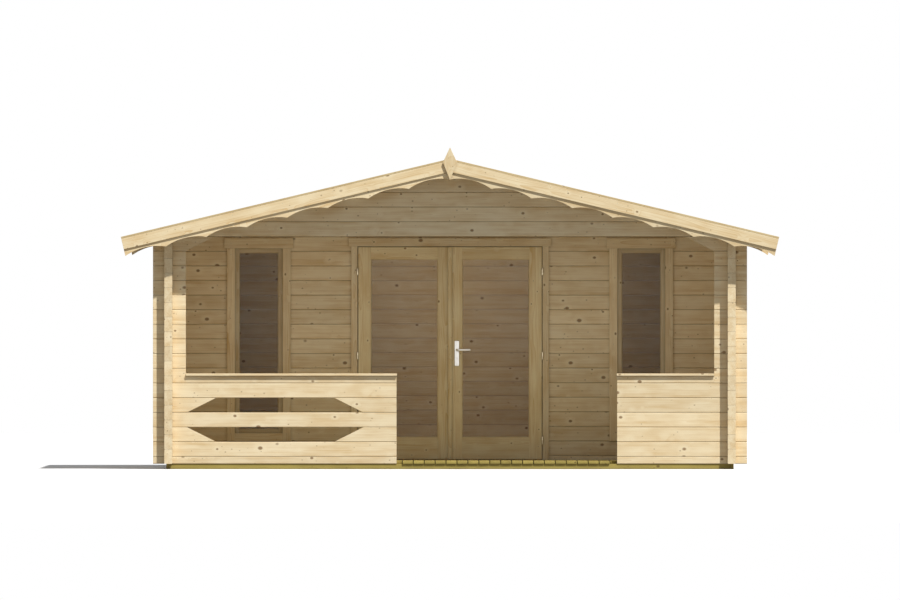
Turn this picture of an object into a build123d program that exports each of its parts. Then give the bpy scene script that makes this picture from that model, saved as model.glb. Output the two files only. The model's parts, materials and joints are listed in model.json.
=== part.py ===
from build123d import *
import os
from math import ceil, cos, radians, sin, tan

# Log cabin with a covered veranda, in millimetres.
# X runs across the front from left to right, Y runs from the veranda to the rear and Z is up.
# The origin lies on the ground under the middle of the roof's outline.

# Plan
WALL_WIDTH = 5000.0  # outer face to outer face of the side walls
VERANDA_DEPTH = 1500.0  # veranda front to cabin front, middle to middle of the logs
ROOM_DEPTH = 3430.0  # cabin front to rear wall, middle to middle of the logs
CORNER_PROJECTION = 100.0  # each log runs on this far past the face of the wall it crosses
FRONT_OVERHANG = 178.0  # roof boards past the front log ends
REAR_OVERHANG = 178.0  # roof boards past the rear log ends

# Logs
LOG_THICKNESS = 70.0
LOG_COVER = 128.5  # height of one course
LOG_CHAMFER = 5.0  # bevel along the edges, which shows as a V groove between courses
LOG_GAP = 0.4  # between courses
NOTCH_PLAY = 0.3  # each side of a crossing log
SIDE_COURSES = 16
NOTCH_SHARE = 0.5  # of a course, cut from the underside where logs cross
TOP_NOTCH_SHARE = 0.25  # of a course, where the lowest gable log crosses the top side log

# Openings, counted in courses of the front wall above its half-log starter
WINDOW_SILL_COURSE = 1
HEAD_COURSE = 15
WINDOW_X = 1684.0  # middle of a window from the middle of the front
WINDOW_OPENING = 480.0
DOOR_OPENING = 1685.5

# Ground frame and floors
BEARER_HEIGHT = 45.0
BEARER_WIDTH = 70.0
BEARER_SETBACK = 10.0  # front and rear, behind the face of the logs above
BEARER_END_SETBACK = 17.0  # at the sides
JOIST_SPACING = 500.0
JOIST_WIDTH = 45.0
FLOOR_THICKNESS = 25.0
FLOOR_PLAY = 3.0  # between the floor and the walls round it
DECK_BOARD_WIDTH = 89.0
DECK_BOARD_PITCH = 95.7
DECK_GAP_X = -35.0  # middle of the gap nearest the middle of the front
DECK_NOSE = 5.0  # veranda boards past the face of the logs, in the entrance

# Veranda front
ENTRANCE_LEFT = -468.0
ENTRANCE_RIGHT = 1463.0
RAIL_COURSES = 5  # whole courses, with half a log above and below them
CORNER_STUB = 117.5  # short logs past the inner face of the side wall
SLANT_RUN = 256.0  # sideways run of a slanted log end over one course
CUTOUT_MARGIN = 289.0  # from the rail's free end to the wide edge of a cut-out
CUTOUT_START = 127.0  # from the inner face of the side wall to the wide edge of a cut-out
CUTOUT_LOWER_COURSE = 2
CUTOUT_UPPER_COURSE = 4
RAIL_CAP_THICKNESS = 20.0
RAIL_CAP_OVERHANG = 23.0
RAIL_CAP_NOSE = 4.0  # past the rail's free end

# Roof
ROOF_PITCH = 13.35  # degrees
ROOF_BOARD = 19.0
EAVE_OVERHANG = 196.0  # roof boards past the side ends of the logs
SEAT_GAP = 0.3  # between pieces that lie against each other
PURLIN_SPACING = 835.0
PURLIN_WIDTH = 70.0
PURLIN_HEIGHT = 95.0  # at the purlin's lower side
RIDGE_PURLIN_HEIGHT = 140.0
FASCIA_THICKNESS = 18.0
FASCIA_HEIGHT = 85.0
BARGE_NOSE = 82.0  # tip of the edge strip past the roof boards' lower end
BARGE_WIDTH = 95.0
BARGE_THICKNESS = 13.5
STRIP_THICKNESS = 17.0
STRIP_WIDTH = 85.0
TRIM_THICKNESS = 16.0
TRIM_WIDTH = 156.0  # from the roof boards' top to the points of the scallops
REAR_TRIM_WIDTH = 138.0
SCALLOP_PITCH = 364.0
SCALLOP_RISE = 35.0
FINIAL_THICKNESS = 23.0
FINIAL_WIDTH = 124.0
FINIAL_ABOVE = 132.0  # widest line to the top point
FINIAL_BELOW = 156.0  # widest line to the bottom point
FINIAL_DROP = 15.0  # widest line below the ridge of the roof boards

# Casings and frames
CASING_THICKNESS = 20.0
CASING_CLEAR = 13.0  # top of a head casing below the top of its opening
JAMB_THICKNESS = 30.0
WINDOW_CASING_WIDTH = 70.5
WINDOW_HEAD_CASING = 90.0
WINDOW_SILL_CASING = 68.0
WINDOW_HEAD_FRAME = 103.0
WINDOW_SILL_FRAME = 67.0
HEAD_CASING_NOSE = 23.0  # past the outer edge of the side casings
SASH_WIDTH = 36.0
SASH_DEPTH = 44.0
GLASS_THICKNESS = 14.0

# Doors
DOOR_CLEARANCE = 5.0
LEAF_THICKNESS = 45.0
MEETING_GAP = 5.0
HINGE_STILE = 109.0
LOCK_STILE = 103.5
LEAF_TOP_RAIL = 105.0
LEAF_BOTTOM_RAIL = 190.0
DOOR_CASING_WIDTH = 55.5
DOOR_CASING_REVEAL = 2.0  # jamb left bare beside the casing
DOOR_HEAD_CASING = 72.0
DOOR_HEAD_FRAME = 86.5
DOOR_STOP_WIDTH = 15.0
THRESHOLD_RISE = 3.0  # above the floor
ASTRAGAL_WIDTH = 36.0
ASTRAGAL_THICKNESS = 15.0
ASTRAGAL_BEVEL = 4.0

# Hinges
HINGE_HEIGHTS = (241.0, 988.0, 1731.0)  # middle of each barrel above the ground
HINGE_RADIUS = 7.0
HINGE_FLATS = 10  # round the barrel
HINGE_BARREL = 35.0  # height of one half
HINGE_SPLIT = 0.3
HINGE_SIDE = 6.0  # pin beside the edge of the leaf
HINGE_PROUD = 8.5  # pin in front of the face of the leaf
HINGE_STUD = 6.0  # thickness of the square stud
HINGE_STUD_REACH = 34.0

# Handle
HANDLE_X = 60.5
HANDLE_Z = 1040.0
PLATE_WIDTH = 41.0
PLATE_HEIGHT = 223.0
PLATE_THICKNESS = 8.0
PLATE_DROP = 30.5  # middle of the plate below the lever
PLATE_BEVEL = 3.0
LEVER_RADIUS = 9.0
LEVER_LENGTH = 121.0
LEVER_STAND_OFF = 52.0  # middle of the grip in front of the plate
GRIP_HEIGHT = 19.0
GRIP_THICKNESS = 12.0
GRIP_CORNER = 5.0
SPINDLE_WIDTH = 8.0
LEVER_PLAY = 0.5  # round the lever's neck in its plate

OVERRUN = 20.0  # how far a cutter passes what it cuts

# Lines worked out from the sizes above
half_log = LOG_THICKNESS / 2
wall_face = WALL_WIDTH / 2
wall_inner = wall_face - LOG_THICKNESS
corner_x = wall_face - half_log
log_end_x = wall_face + CORNER_PROJECTION
stub_x = wall_inner - CORNER_STUB
eave_x = log_end_x + EAVE_OVERHANG

log_run = CORNER_PROJECTION * 2 + LOG_THICKNESS + VERANDA_DEPTH + ROOM_DEPTH
roof_front = -(FRONT_OVERHANG + log_run + REAR_OVERHANG) / 2
roof_rear = -roof_front
log_front = roof_front + FRONT_OVERHANG
veranda_y = log_front + CORNER_PROJECTION + half_log
front_y = veranda_y + VERANDA_DEPTH
rear_y = front_y + ROOM_DEPTH
log_rear = rear_y + half_log + CORNER_PROJECTION
front_face = front_y - half_log

pitch = radians(ROOF_PITCH)
slope = tan(pitch)
wall_top = BEARER_HEIGHT + SIDE_COURSES * LOG_COVER
ridge_under = wall_top + slope * wall_inner
ridge_top = ridge_under + ROOF_BOARD / cos(pitch)
floor_top = BEARER_HEIGHT + FLOOR_THICKNESS
notch_depth = LOG_COVER * NOTCH_SHARE
top_notch_depth = LOG_COVER * TOP_NOTCH_SHARE


def under_roof(x):
    """Height of the roof boards' underside at a distance from the middle."""
    return ridge_under - slope * abs(x)


def side_course(course):
    """Bottom and top of a side wall course, counted from 0."""
    bottom = BEARER_HEIGHT + course * LOG_COVER
    return bottom, bottom + LOG_COVER


def cross_course(course):
    """Bottom and top of a front or rear wall course. Course 0 is half a log."""
    if course == 0:
        return BEARER_HEIGHT, BEARER_HEIGHT + LOG_COVER / 2
    bottom = BEARER_HEIGHT + LOG_COVER * (course - 1 / 2)
    return bottom, bottom + LOG_COVER


def block(x_low, x_high, y_low, y_high, z_low, z_high):
    """A box between two corners."""
    middle = Pos((x_low + x_high) / 2, (y_low + y_high) / 2, (z_low + z_high) / 2)
    return middle * Box(x_high - x_low, y_high - y_low, z_high - z_low)


def prism_along_y(points, y_low, y_high):
    """An outline in X and Z carried from one depth to another."""
    outline = Plane.XZ.offset(-y_high) * Polygon(*points, align=None)
    return extrude(outline, amount=y_high - y_low, dir=(0, -1, 0))


def prism_along_z(points, z_low, z_high):
    """An outline in X and Y carried from one height to another."""
    outline = Plane.XY.offset(z_low) * Polygon(*points, align=None)
    return extrude(outline, amount=z_high - z_low, dir=(0, 0, 1))


def rod(start, end, radius):
    """A round bar between two points."""
    line = Vector(*end) - Vector(*start)
    section = Plane(origin=start, z_dir=line) * Circle(radius)
    return extrude(section, amount=line.length)


def log_outline(middle, z_low, z_high):
    """The bevelled section of a log, as thickness and height."""
    low, high = middle - half_log, middle + half_log
    return [
        (low, z_low + LOG_CHAMFER),
        (low + LOG_CHAMFER, z_low),
        (high - LOG_CHAMFER, z_low),
        (high, z_low + LOG_CHAMFER),
        (high, z_high - LOG_CHAMFER),
        (high - LOG_CHAMFER, z_high),
        (low + LOG_CHAMFER, z_high),
        (low, z_high - LOG_CHAMFER),
    ]


def seated(z_low, z_high):
    """A course's heights less its share of the gap above and below it."""
    return z_low + LOG_GAP / 2, z_high - LOG_GAP / 2


def cross_log(x_low, x_high, wall_y, course):
    """A log of a front or rear wall, notched where it crosses a side wall."""
    z_low, z_high = seated(*cross_course(course))
    outline = Plane.YZ.offset(x_low) * Polygon(*log_outline(wall_y, z_low, z_high), align=None)
    log = extrude(outline, amount=x_high - x_low, dir=(1, 0, 0))
    reach = half_log + NOTCH_PLAY
    depth = half_log + OVERRUN
    for corner in (-corner_x, corner_x):
        if not x_low < corner < x_high:
            continue
        x_span = (corner - reach, corner + reach)
        y_span = (wall_y - depth, wall_y + depth)
        if course > 0:
            cut = top_notch_depth if course == SIDE_COURSES else notch_depth
            log -= block(*x_span, *y_span, z_low - OVERRUN, z_low + cut)
    return log


def side_log(side, course):
    """A log of a side wall, notched where the three cross walls pass through it."""
    z_low, z_high = seated(*side_course(course))
    corner = side * corner_x
    log = prism_along_y(log_outline(corner, z_low, z_high), log_front, log_rear)
    reach = half_log + NOTCH_PLAY
    depth = half_log + OVERRUN
    for wall_y in (veranda_y, front_y, rear_y):
        x_span = (corner - depth, corner + depth)
        y_span = (wall_y - reach, wall_y + reach)
        log -= block(*x_span, *y_span, z_low - OVERRUN, z_low + notch_depth)
        if course == SIDE_COURSES - 1:
            log -= block(*x_span, *y_span, z_high - top_notch_depth, z_high + OVERRUN)
    return log


def space_under_roof():
    """Everything below the roof boards, to trim the tops of walls and purlins."""
    reach = eave_x
    low = under_roof(reach) - SEAT_GAP
    outline = [
        (-reach, 0),
        (reach, 0),
        (reach, low),
        (0, ridge_under - SEAT_GAP),
        (-reach, low),
    ]
    return prism_along_y(outline, roof_front - OVERRUN, roof_rear + OVERRUN)


under_boards = space_under_roof()


half_purlin = PURLIN_WIDTH / 2


def purlin_lines():
    """Each purlin's middle and the height of its underside."""
    lines = [(0, ridge_under - RIDGE_PURLIN_HEIGHT)]
    for step in (1, 2):
        x = step * PURLIN_SPACING
        low = under_roof(x + half_purlin) - PURLIN_HEIGHT
        lines += [(-x, low), (x, low)]
    return lines


def purlin(x, low):
    """A purlin from gable edge to gable edge, its top bevelled to the roof."""
    beam = block(
        x - half_purlin,
        x + half_purlin,
        roof_front + SEAT_GAP,
        roof_rear - SEAT_GAP,
        low,
        ridge_under + OVERRUN,
    )
    return beam & under_boards


def gable(wall_y):
    """The logs above the eaves, cut to the roof and slotted for the purlins."""
    pieces = []
    course = HEAD_COURSE + 1
    while cross_course(course)[0] < ridge_under - LOG_CHAMFER:
        log = cross_log(-log_end_x, log_end_x, wall_y, course) & under_boards
        depth = half_log + OVERRUN
        for x, low in purlin_lines():
            reach = half_purlin + NOTCH_PLAY
            log -= block(
                x - reach,
                x + reach,
                wall_y - depth,
                wall_y + depth,
                low - SEAT_GAP,
                ridge_under + OVERRUN,
            )
        pieces += log.solids()
        course += 1
    return pieces


def side_wall(side):
    """A side wall, its top log bevelled to the roof."""
    logs = [side_log(side, course) for course in range(SIDE_COURSES)]
    logs[-1] = logs[-1] & under_boards
    return logs


def wall_run(x_low, x_high, wall_y, courses):
    """The logs of one stretch of wall."""
    return [cross_log(x_low, x_high, wall_y, course) for course in courses]


def slanted(log, x_wide, x_narrow, course, long_edge):
    """Cuts a log's end from x_wide at its short edge to x_narrow at its long edge."""
    z_low, z_high = cross_course(course)
    short = z_low if long_edge == "top" else z_high
    far = z_high if long_edge == "top" else z_low
    corner = [(x_wide, short), (x_narrow, short), (x_narrow, far)]
    return log - prism_along_y(corner, veranda_y - LOG_THICKNESS, veranda_y + LOG_THICKNESS)


def slanted_stub(side, start, course, long_edge):
    """A short corner log of the veranda whose inner end is cut on a slant."""
    x_wide = side * start
    x_narrow = side * (start - SLANT_RUN)
    ends = sorted((side * log_end_x, x_narrow))
    return slanted(cross_log(*ends, veranda_y, course), x_wide, x_narrow, course, long_edge)


def slanted_rail_end(course, long_edge):
    """The piece of a cut-out course at the free end of the left rail."""
    x_wide = ENTRANCE_LEFT - CUTOUT_MARGIN
    x_narrow = x_wide - SLANT_RUN
    log = cross_log(x_narrow, ENTRANCE_LEFT, veranda_y, course)
    return slanted(log, x_wide, x_narrow, course, long_edge)


def rail_top_log(x_low, x_high):
    """The half log under a rail cap."""
    z_low = cross_course(RAIL_COURSES)[1]
    outline = log_outline(veranda_y, *seated(z_low, z_low + LOG_COVER / 2))
    section = Plane.YZ.offset(x_low) * Polygon(*outline, align=None)
    return extrude(section, amount=x_high - x_low, dir=(1, 0, 0))


def left_rail():
    """The long rail, with two rows of cut-out logs."""
    logs = []
    for course in range(RAIL_COURSES + 1):
        if course in (CUTOUT_LOWER_COURSE, CUTOUT_UPPER_COURSE):
            long_edge = "top" if course == CUTOUT_UPPER_COURSE else "bottom"
            logs.append(slanted_stub(-1, wall_inner - CUTOUT_START, course, long_edge))
            logs.append(slanted_rail_end(course, long_edge))
        else:
            logs.append(cross_log(-log_end_x, ENTRANCE_LEFT, veranda_y, course))
    logs.append(rail_top_log(-stub_x + SEAT_GAP, ENTRANCE_LEFT))
    return logs


def right_rail():
    """The short closed rail."""
    logs = wall_run(ENTRANCE_RIGHT, log_end_x, veranda_y, range(RAIL_COURSES + 1))
    logs.append(rail_top_log(ENTRANCE_RIGHT, stub_x - SEAT_GAP))
    return logs


def corner_stubs(side):
    """The short logs of a veranda corner, with a slanted one under the gable."""
    ends = sorted((side * log_end_x, side * stub_x))
    logs = wall_run(*ends, veranda_y, range(RAIL_COURSES + 1, HEAD_COURSE))
    logs.append(slanted_stub(side, stub_x, HEAD_COURSE, "top"))
    return logs


def rail_cap(x_low, x_high):
    """The board on top of a rail."""
    z_low = cross_course(RAIL_COURSES)[1] + LOG_COVER / 2
    depth = half_log + RAIL_CAP_OVERHANG
    return block(x_low, x_high, veranda_y - depth, veranda_y + depth, z_low, z_low + RAIL_CAP_THICKNESS)


def ground_frame():
    """Bearers under the three cross walls and, between those, under the side walls."""
    reach = wall_face - BEARER_END_SETBACK
    inset = half_log - BEARER_SETBACK
    rows = [
        (veranda_y - inset, veranda_y - inset + BEARER_WIDTH),
        (front_y - BEARER_WIDTH / 2, front_y + BEARER_WIDTH / 2),
        (rear_y + inset - BEARER_WIDTH, rear_y + inset),
    ]
    bearers = [block(-reach, reach, *row, 0, BEARER_HEIGHT) for row in rows]
    for row, after in zip(rows, rows[1:]):
        y_span = (row[1] + SEAT_GAP, after[0] - SEAT_GAP)
        for ends in ((-reach, BEARER_WIDTH - reach), (reach - BEARER_WIDTH, reach)):
            bearers.append(block(*ends, *y_span, 0, BEARER_HEIGHT))
    return bearers, rows


bearers, bearer_rows = ground_frame()


def joists():
    """Cross joists between the side bearers, with one beside each bearer for the ends of the floors."""
    reach = wall_face - BEARER_END_SETBACK - BEARER_WIDTH - SEAT_GAP
    bars = []
    for row, after in zip(bearer_rows, bearer_rows[1:]):
        first = row[1] + SEAT_GAP + JOIST_WIDTH / 2
        last = after[0] - SEAT_GAP - JOIST_WIDTH / 2
        bays = ceil((last - first) / JOIST_SPACING)
        for step in range(bays + 1):
            y = first + (last - first) * step / bays
            bars.append(block(-reach, reach, y - JOIST_WIDTH / 2, y + JOIST_WIDTH / 2, 0, BEARER_HEIGHT))
    return bars


def veranda_deck():
    """Boards from the entrance back to the cabin front, with gaps between them."""
    inner = wall_inner - FLOOR_PLAY
    first = DECK_GAP_X + (DECK_BOARD_PITCH - DECK_BOARD_WIDTH) / 2
    count = ceil(inner / DECK_BOARD_PITCH) + 1
    boards = []
    for index in range(-count, count):
        x_low = max(first + index * DECK_BOARD_PITCH, -inner)
        x_high = min(first + index * DECK_BOARD_PITCH + DECK_BOARD_WIDTH, inner)
        if x_high - x_low < FLOOR_THICKNESS:
            continue
        in_entrance = ENTRANCE_LEFT < x_low and x_high < ENTRANCE_RIGHT
        y_low = veranda_y - half_log - DECK_NOSE if in_entrance else veranda_y + half_log + FLOOR_PLAY
        boards.append(block(x_low, x_high, y_low, front_face - FLOOR_PLAY, BEARER_HEIGHT + SEAT_GAP, floor_top))
    return boards


def room_floor():
    """The floor of the room."""
    inner = wall_inner - FLOOR_PLAY
    y_span = (front_y + half_log + FLOOR_PLAY, rear_y - half_log - FLOOR_PLAY)
    return block(-inner, inner, *y_span, BEARER_HEIGHT + SEAT_GAP, floor_top)


def roof_point(side, along, down):
    """A point by its distance down the slope and its depth below the roof boards' top."""
    x = along * cos(pitch) - down * sin(pitch)
    return side * x, ridge_top - along * sin(pitch) - down * cos(pitch)


def roof_layer(side, along_end, down_high, down_low, y_low, y_high):
    """A flat layer of one roof slope, cut upright at the ridge and square at the eave."""
    at_ridge = [(side * SEAT_GAP / 2, ridge_top - down / cos(pitch)) for down in (down_low, down_high)]
    at_eave = [roof_point(side, along_end, down) for down in (down_high, down_low)]
    return prism_along_y(at_ridge + at_eave, y_low, y_high)


barge_length = (eave_x + BARGE_NOSE - STRIP_THICKNESS * sin(pitch)) / cos(pitch)
deck_length = eave_x / cos(pitch)


def scallop_trim(side, width, y_low, y_high):
    """A trim board with round scallops along its lower edge, from the eave to the ridge."""
    board = roof_layer(side, barge_length, 0, width, y_low, y_high)
    radius = SCALLOP_PITCH**2 / (8 * SCALLOP_RISE) + SCALLOP_RISE / 2
    for index in range(ceil(barge_length / SCALLOP_PITCH)):
        along = barge_length - (index + 1 / 2) * SCALLOP_PITCH
        x, z = roof_point(side, along, width - SCALLOP_RISE + radius)
        board -= rod((x, y_low - OVERRUN, z), (x, y_high + OVERRUN, z), radius)
    return board


def gable_layers(edge, outward):
    """The depths of the trim, bargeboards and finial outside a gable edge of the roof."""
    layers = []
    start = edge + outward * SEAT_GAP
    for thickness in (TRIM_THICKNESS, BARGE_THICKNESS, FINIAL_THICKNESS):
        end = start + outward * thickness
        layers.append((min(start, end), max(start, end)))
        start = end + outward * SEAT_GAP
    return layers


def finial(y_low, y_high):
    """The pointed board over the joint of two bargeboards."""
    z = ridge_top - FINIAL_DROP
    outline = [
        (0, z + FINIAL_ABOVE),
        (-FINIAL_WIDTH / 2, z),
        (0, z - FINIAL_BELOW),
        (FINIAL_WIDTH / 2, z),
    ]
    return prism_along_y(outline, y_low, y_high)


def edge_strips():
    """Strips on top of the roof boards and bargeboards, along each gable edge."""
    strips = []
    for edge, outward in ((roof_front, -1), (roof_rear, 1)):
        outer_layer = gable_layers(edge, outward)[1]
        outer = min(outer_layer) if outward < 0 else max(outer_layer)
        y_span = sorted((outer, outer - outward * STRIP_WIDTH))
        for side in (-1, 1):
            strips.append(roof_layer(side, barge_length, -STRIP_THICKNESS, -SEAT_GAP, *y_span))
    return strips


def fascia(side):
    """The upright board under the roof boards' lower end."""
    outer = eave_x
    inner = outer - FASCIA_THICKNESS
    low = under_roof(outer) - FASCIA_HEIGHT
    outline = [
        (side * inner, low),
        (side * outer, low),
        (side * outer, under_roof(outer) - SEAT_GAP),
        (side * inner, under_roof(inner) - SEAT_GAP),
    ]
    return prism_along_y(outline, roof_front + SEAT_GAP, roof_rear - SEAT_GAP)


def window_heights():
    """The bottom and top of a window's opening in the logs."""
    return cross_course(WINDOW_SILL_COURSE)[1], cross_course(HEAD_COURSE)[1]


def window_frame(x):
    """Jambs, head and sill lining a window's opening."""
    bottom, top = window_heights()
    outer = WINDOW_OPENING / 2 - SEAT_GAP
    inner = WINDOW_OPENING / 2 - JAMB_THICKNESS
    y_span = (front_face, front_face + LOG_THICKNESS)
    pieces = []
    for side in (-1, 1):
        ends = sorted((x + side * outer, x + side * inner))
        pieces.append(block(*ends, *y_span, bottom + SEAT_GAP, top - SEAT_GAP))
    between = (x - inner + SEAT_GAP, x + inner - SEAT_GAP)
    pieces.append(block(*between, *y_span, bottom + SEAT_GAP, bottom + WINDOW_SILL_FRAME))
    pieces.append(block(*between, *y_span, top - WINDOW_HEAD_FRAME, top - SEAT_GAP))
    return pieces


def window_casing(x):
    """Boards round a window, outside and inside."""
    bottom, top = window_heights()
    inner = WINDOW_OPENING / 2 - JAMB_THICKNESS
    outer = inner + WINDOW_CASING_WIDTH
    head_low = top - CASING_CLEAR - WINDOW_HEAD_CASING
    head_reach = outer + HEAD_CASING_NOSE
    boards = []
    for y_span in casing_depths():
        for side in (-1, 1):
            ends = sorted((x + side * outer, x + side * inner))
            boards.append(block(*ends, *y_span, bottom, head_low - SEAT_GAP))
        boards.append(block(x - head_reach, x + head_reach, *y_span, head_low, top - CASING_CLEAR))
        between = (x - inner + SEAT_GAP, x + inner - SEAT_GAP)
        boards.append(block(*between, *y_span, bottom, bottom + WINDOW_SILL_CASING))
    return boards


def casing_depths():
    """The depths of a casing outside and inside the cabin front."""
    inside = front_face + LOG_THICKNESS + SEAT_GAP
    return (
        (front_face - SEAT_GAP - CASING_THICKNESS, front_face - SEAT_GAP),
        (inside, inside + CASING_THICKNESS),
    )


def sash_bounds(x):
    """The outer edges of a window's sash."""
    bottom, top = window_heights()
    reach = WINDOW_OPENING / 2 - JAMB_THICKNESS - SEAT_GAP
    return x - reach, x + reach, bottom + WINDOW_SILL_FRAME + SEAT_GAP, top - WINDOW_HEAD_FRAME - SEAT_GAP


def frame_members(bounds, widths, y_span):
    """Two stiles with two rails between them. The widths are left, right, bottom and top."""
    x_low, x_high, z_low, z_high = bounds
    left, right, bottom, top = widths
    inner = (x_low + left + SEAT_GAP, x_high - right - SEAT_GAP)
    return [
        block(x_low, x_low + left, *y_span, z_low, z_high),
        block(x_high - right, x_high, *y_span, z_low, z_high),
        block(*inner, *y_span, z_low, z_low + bottom),
        block(*inner, *y_span, z_high - top, z_high),
    ]


def pane(bounds, widths, y_span):
    """The glass inside a frame of that outline."""
    x_low, x_high, z_low, z_high = bounds
    left, right, bottom, top = widths
    middle = sum(y_span) / 2
    return block(
        x_low + left + SEAT_GAP,
        x_high - right - SEAT_GAP,
        middle - GLASS_THICKNESS / 2,
        middle + GLASS_THICKNESS / 2,
        z_low + bottom + SEAT_GAP,
        z_high - top - SEAT_GAP,
    )


sash_widths = (SASH_WIDTH, SASH_WIDTH, SASH_WIDTH, SASH_WIDTH)
sash_depth = (front_face, front_face + SASH_DEPTH)

door_head = cross_course(HEAD_COURSE)[1]
jamb_inner = DOOR_OPENING / 2 - JAMB_THICKNESS
leaf_outer = jamb_inner - DOOR_CLEARANCE
leaf_front = front_face - SEAT_GAP - CASING_THICKNESS
leaf_depth = (leaf_front, leaf_front + LEAF_THICKNESS)
threshold_top = floor_top + THRESHOLD_RISE
leaf_bottom = threshold_top + DOOR_CLEARANCE
leaf_top = door_head - DOOR_HEAD_FRAME - DOOR_CLEARANCE


def door_frame():
    """Jambs, head and threshold of the doorway."""
    outer = DOOR_OPENING / 2 - SEAT_GAP
    y_span = (front_face, front_face + LOG_THICKNESS)
    pieces = []
    for side in (-1, 1):
        ends = sorted((side * outer, side * jamb_inner))
        pieces.append(block(*ends, *y_span, BEARER_HEIGHT + SEAT_GAP, door_head - SEAT_GAP))
    between = (-jamb_inner + SEAT_GAP, jamb_inner - SEAT_GAP)
    pieces.append(block(*between, *y_span, door_head - DOOR_HEAD_FRAME, door_head - SEAT_GAP))
    pieces.append(block(*between, *y_span, BEARER_HEIGHT + SEAT_GAP, threshold_top))
    return pieces


def door_stops():
    """Strips on the jambs and head that the closed leaves come up against."""
    y_span = (leaf_depth[1] + DOOR_CLEARANCE, front_face + LOG_THICKNESS)
    reach = jamb_inner - SEAT_GAP
    top = door_head - DOOR_HEAD_FRAME - SEAT_GAP
    pieces = []
    for side in (-1, 1):
        ends = sorted((side * reach, side * (reach - DOOR_STOP_WIDTH)))
        pieces.append(block(*ends, *y_span, threshold_top + SEAT_GAP, top))
    across = reach - DOOR_STOP_WIDTH - SEAT_GAP
    pieces.append(block(-across, across, *y_span, top - DOOR_STOP_WIDTH, top))
    return pieces


def door_casing():
    """Boards round the doorway, outside and inside."""
    inner = jamb_inner + DOOR_CASING_REVEAL
    outer = inner + DOOR_CASING_WIDTH
    top = door_head - CASING_CLEAR
    head_low = top - DOOR_HEAD_CASING
    head_reach = outer + HEAD_CASING_NOSE
    boards = []
    for y_span in casing_depths():
        for side in (-1, 1):
            ends = sorted((side * inner, side * outer))
            boards.append(block(*ends, *y_span, floor_top + SEAT_GAP, head_low - SEAT_GAP))
        boards.append(block(-head_reach, head_reach, *y_span, head_low, top))
    return boards


def leaf_bounds(side):
    """The outer edges of a door leaf."""
    ends = sorted((side * leaf_outer, side * MEETING_GAP / 2))
    return *ends, leaf_bottom, leaf_top


def leaf_widths(side):
    """The left and right stile, bottom rail and top rail of a leaf."""
    stiles = (HINGE_STILE, LOCK_STILE) if side < 0 else (LOCK_STILE, HINGE_STILE)
    return *stiles, LEAF_BOTTOM_RAIL, LEAF_TOP_RAIL


def handle_bore():
    """The hole for the spindle through the leaf and both plates."""
    depth = LEAF_THICKNESS + PLATE_THICKNESS + OVERRUN
    start = (HANDLE_X, leaf_front - depth, HANDLE_Z)
    return rod(start, (HANDLE_X, leaf_front + depth + LEAF_THICKNESS, HANDLE_Z), LEVER_RADIUS + LEVER_PLAY)


def door_leaf(side):
    """The stiles and rails of a leaf. The right one is bored for the handle."""
    members = frame_members(leaf_bounds(side), leaf_widths(side), leaf_depth)
    if side > 0:
        members[0] = members[0] - handle_bore()
    return members


def astragal():
    """The strip on the right leaf that covers the joint between the leaves."""
    half = ASTRAGAL_WIDTH / 2
    back = leaf_front - SEAT_GAP
    face = leaf_front - ASTRAGAL_THICKNESS
    clear = leaf_front - DOOR_CLEARANCE
    outline = [
        (MEETING_GAP / 2, back),
        (half, back),
        (half, face + ASTRAGAL_BEVEL),
        (half - ASTRAGAL_BEVEL, face),
        (ASTRAGAL_BEVEL - half, face),
        (-half, face + ASTRAGAL_BEVEL),
        (-half, clear),
        (MEETING_GAP / 2, clear),
    ]
    return prism_along_z(outline, leaf_bottom, leaf_top)


hinge_x = leaf_outer + HINGE_SIDE
hinge_y = leaf_front - HINGE_PROUD


def hinge_half(side, z, into):
    """Half a hinge: a barrel with narrow flats and a stud that screws into the leaf or the frame."""
    x = side * hinge_x
    z_low = z + HINGE_SPLIT / 2 if into == "leaf" else z - HINGE_SPLIT / 2 - HINGE_BARREL
    outline = Pos(x, hinge_y, z_low) * RegularPolygon(HINGE_RADIUS, HINGE_FLATS)
    barrel = extrude(outline, amount=HINGE_BARREL, dir=(0, 0, 1))
    middle = z_low + HINGE_BARREL / 2
    sideways = -side if into == "leaf" else side
    section = Plane(origin=(x, hinge_y, middle), z_dir=(sideways, 1, 0))
    stud = extrude(section * Rectangle(HINGE_STUD, HINGE_STUD), amount=HINGE_STUD_REACH)
    return barrel + stud


def handle_plates():
    """The long plates outside and inside the right leaf."""
    z = HANDLE_Z - PLATE_DROP
    bounds = (HANDLE_X - PLATE_WIDTH / 2, HANDLE_X + PLATE_WIDTH / 2)
    heights = (z - PLATE_HEIGHT / 2, z + PLATE_HEIGHT / 2)
    plates = []
    for start, outward in ((leaf_depth[0], -1), (leaf_depth[1], 1)):
        near = start + outward * SEAT_GAP
        plate = block(*bounds, *sorted((near, near + outward * PLATE_THICKNESS)), *heights)
        face = plate.faces().sort_by(Axis.Y)[0 if outward < 0 else -1]
        plates.append(chamfer(face.edges(), PLATE_BEVEL) - handle_bore())
    return plates


def lever(start, outward):
    """A round neck out of the plate with a flat grip across it, towards the hinges."""
    grip_y = start + outward * LEVER_STAND_OFF
    neck = rod((HANDLE_X, start, HANDLE_Z), (HANDLE_X, grip_y, HANDLE_Z), LEVER_RADIUS)
    grip = block(
        HANDLE_X - GRIP_HEIGHT / 2,
        HANDLE_X + LEVER_LENGTH,
        grip_y - GRIP_THICKNESS / 2,
        grip_y + GRIP_THICKNESS / 2,
        HANDLE_Z - GRIP_HEIGHT / 2,
        HANDLE_Z + GRIP_HEIGHT / 2,
    )
    ends = grip.edges().filter_by(Axis.Y)
    return neck + chamfer(ends, GRIP_CORNER)


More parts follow.
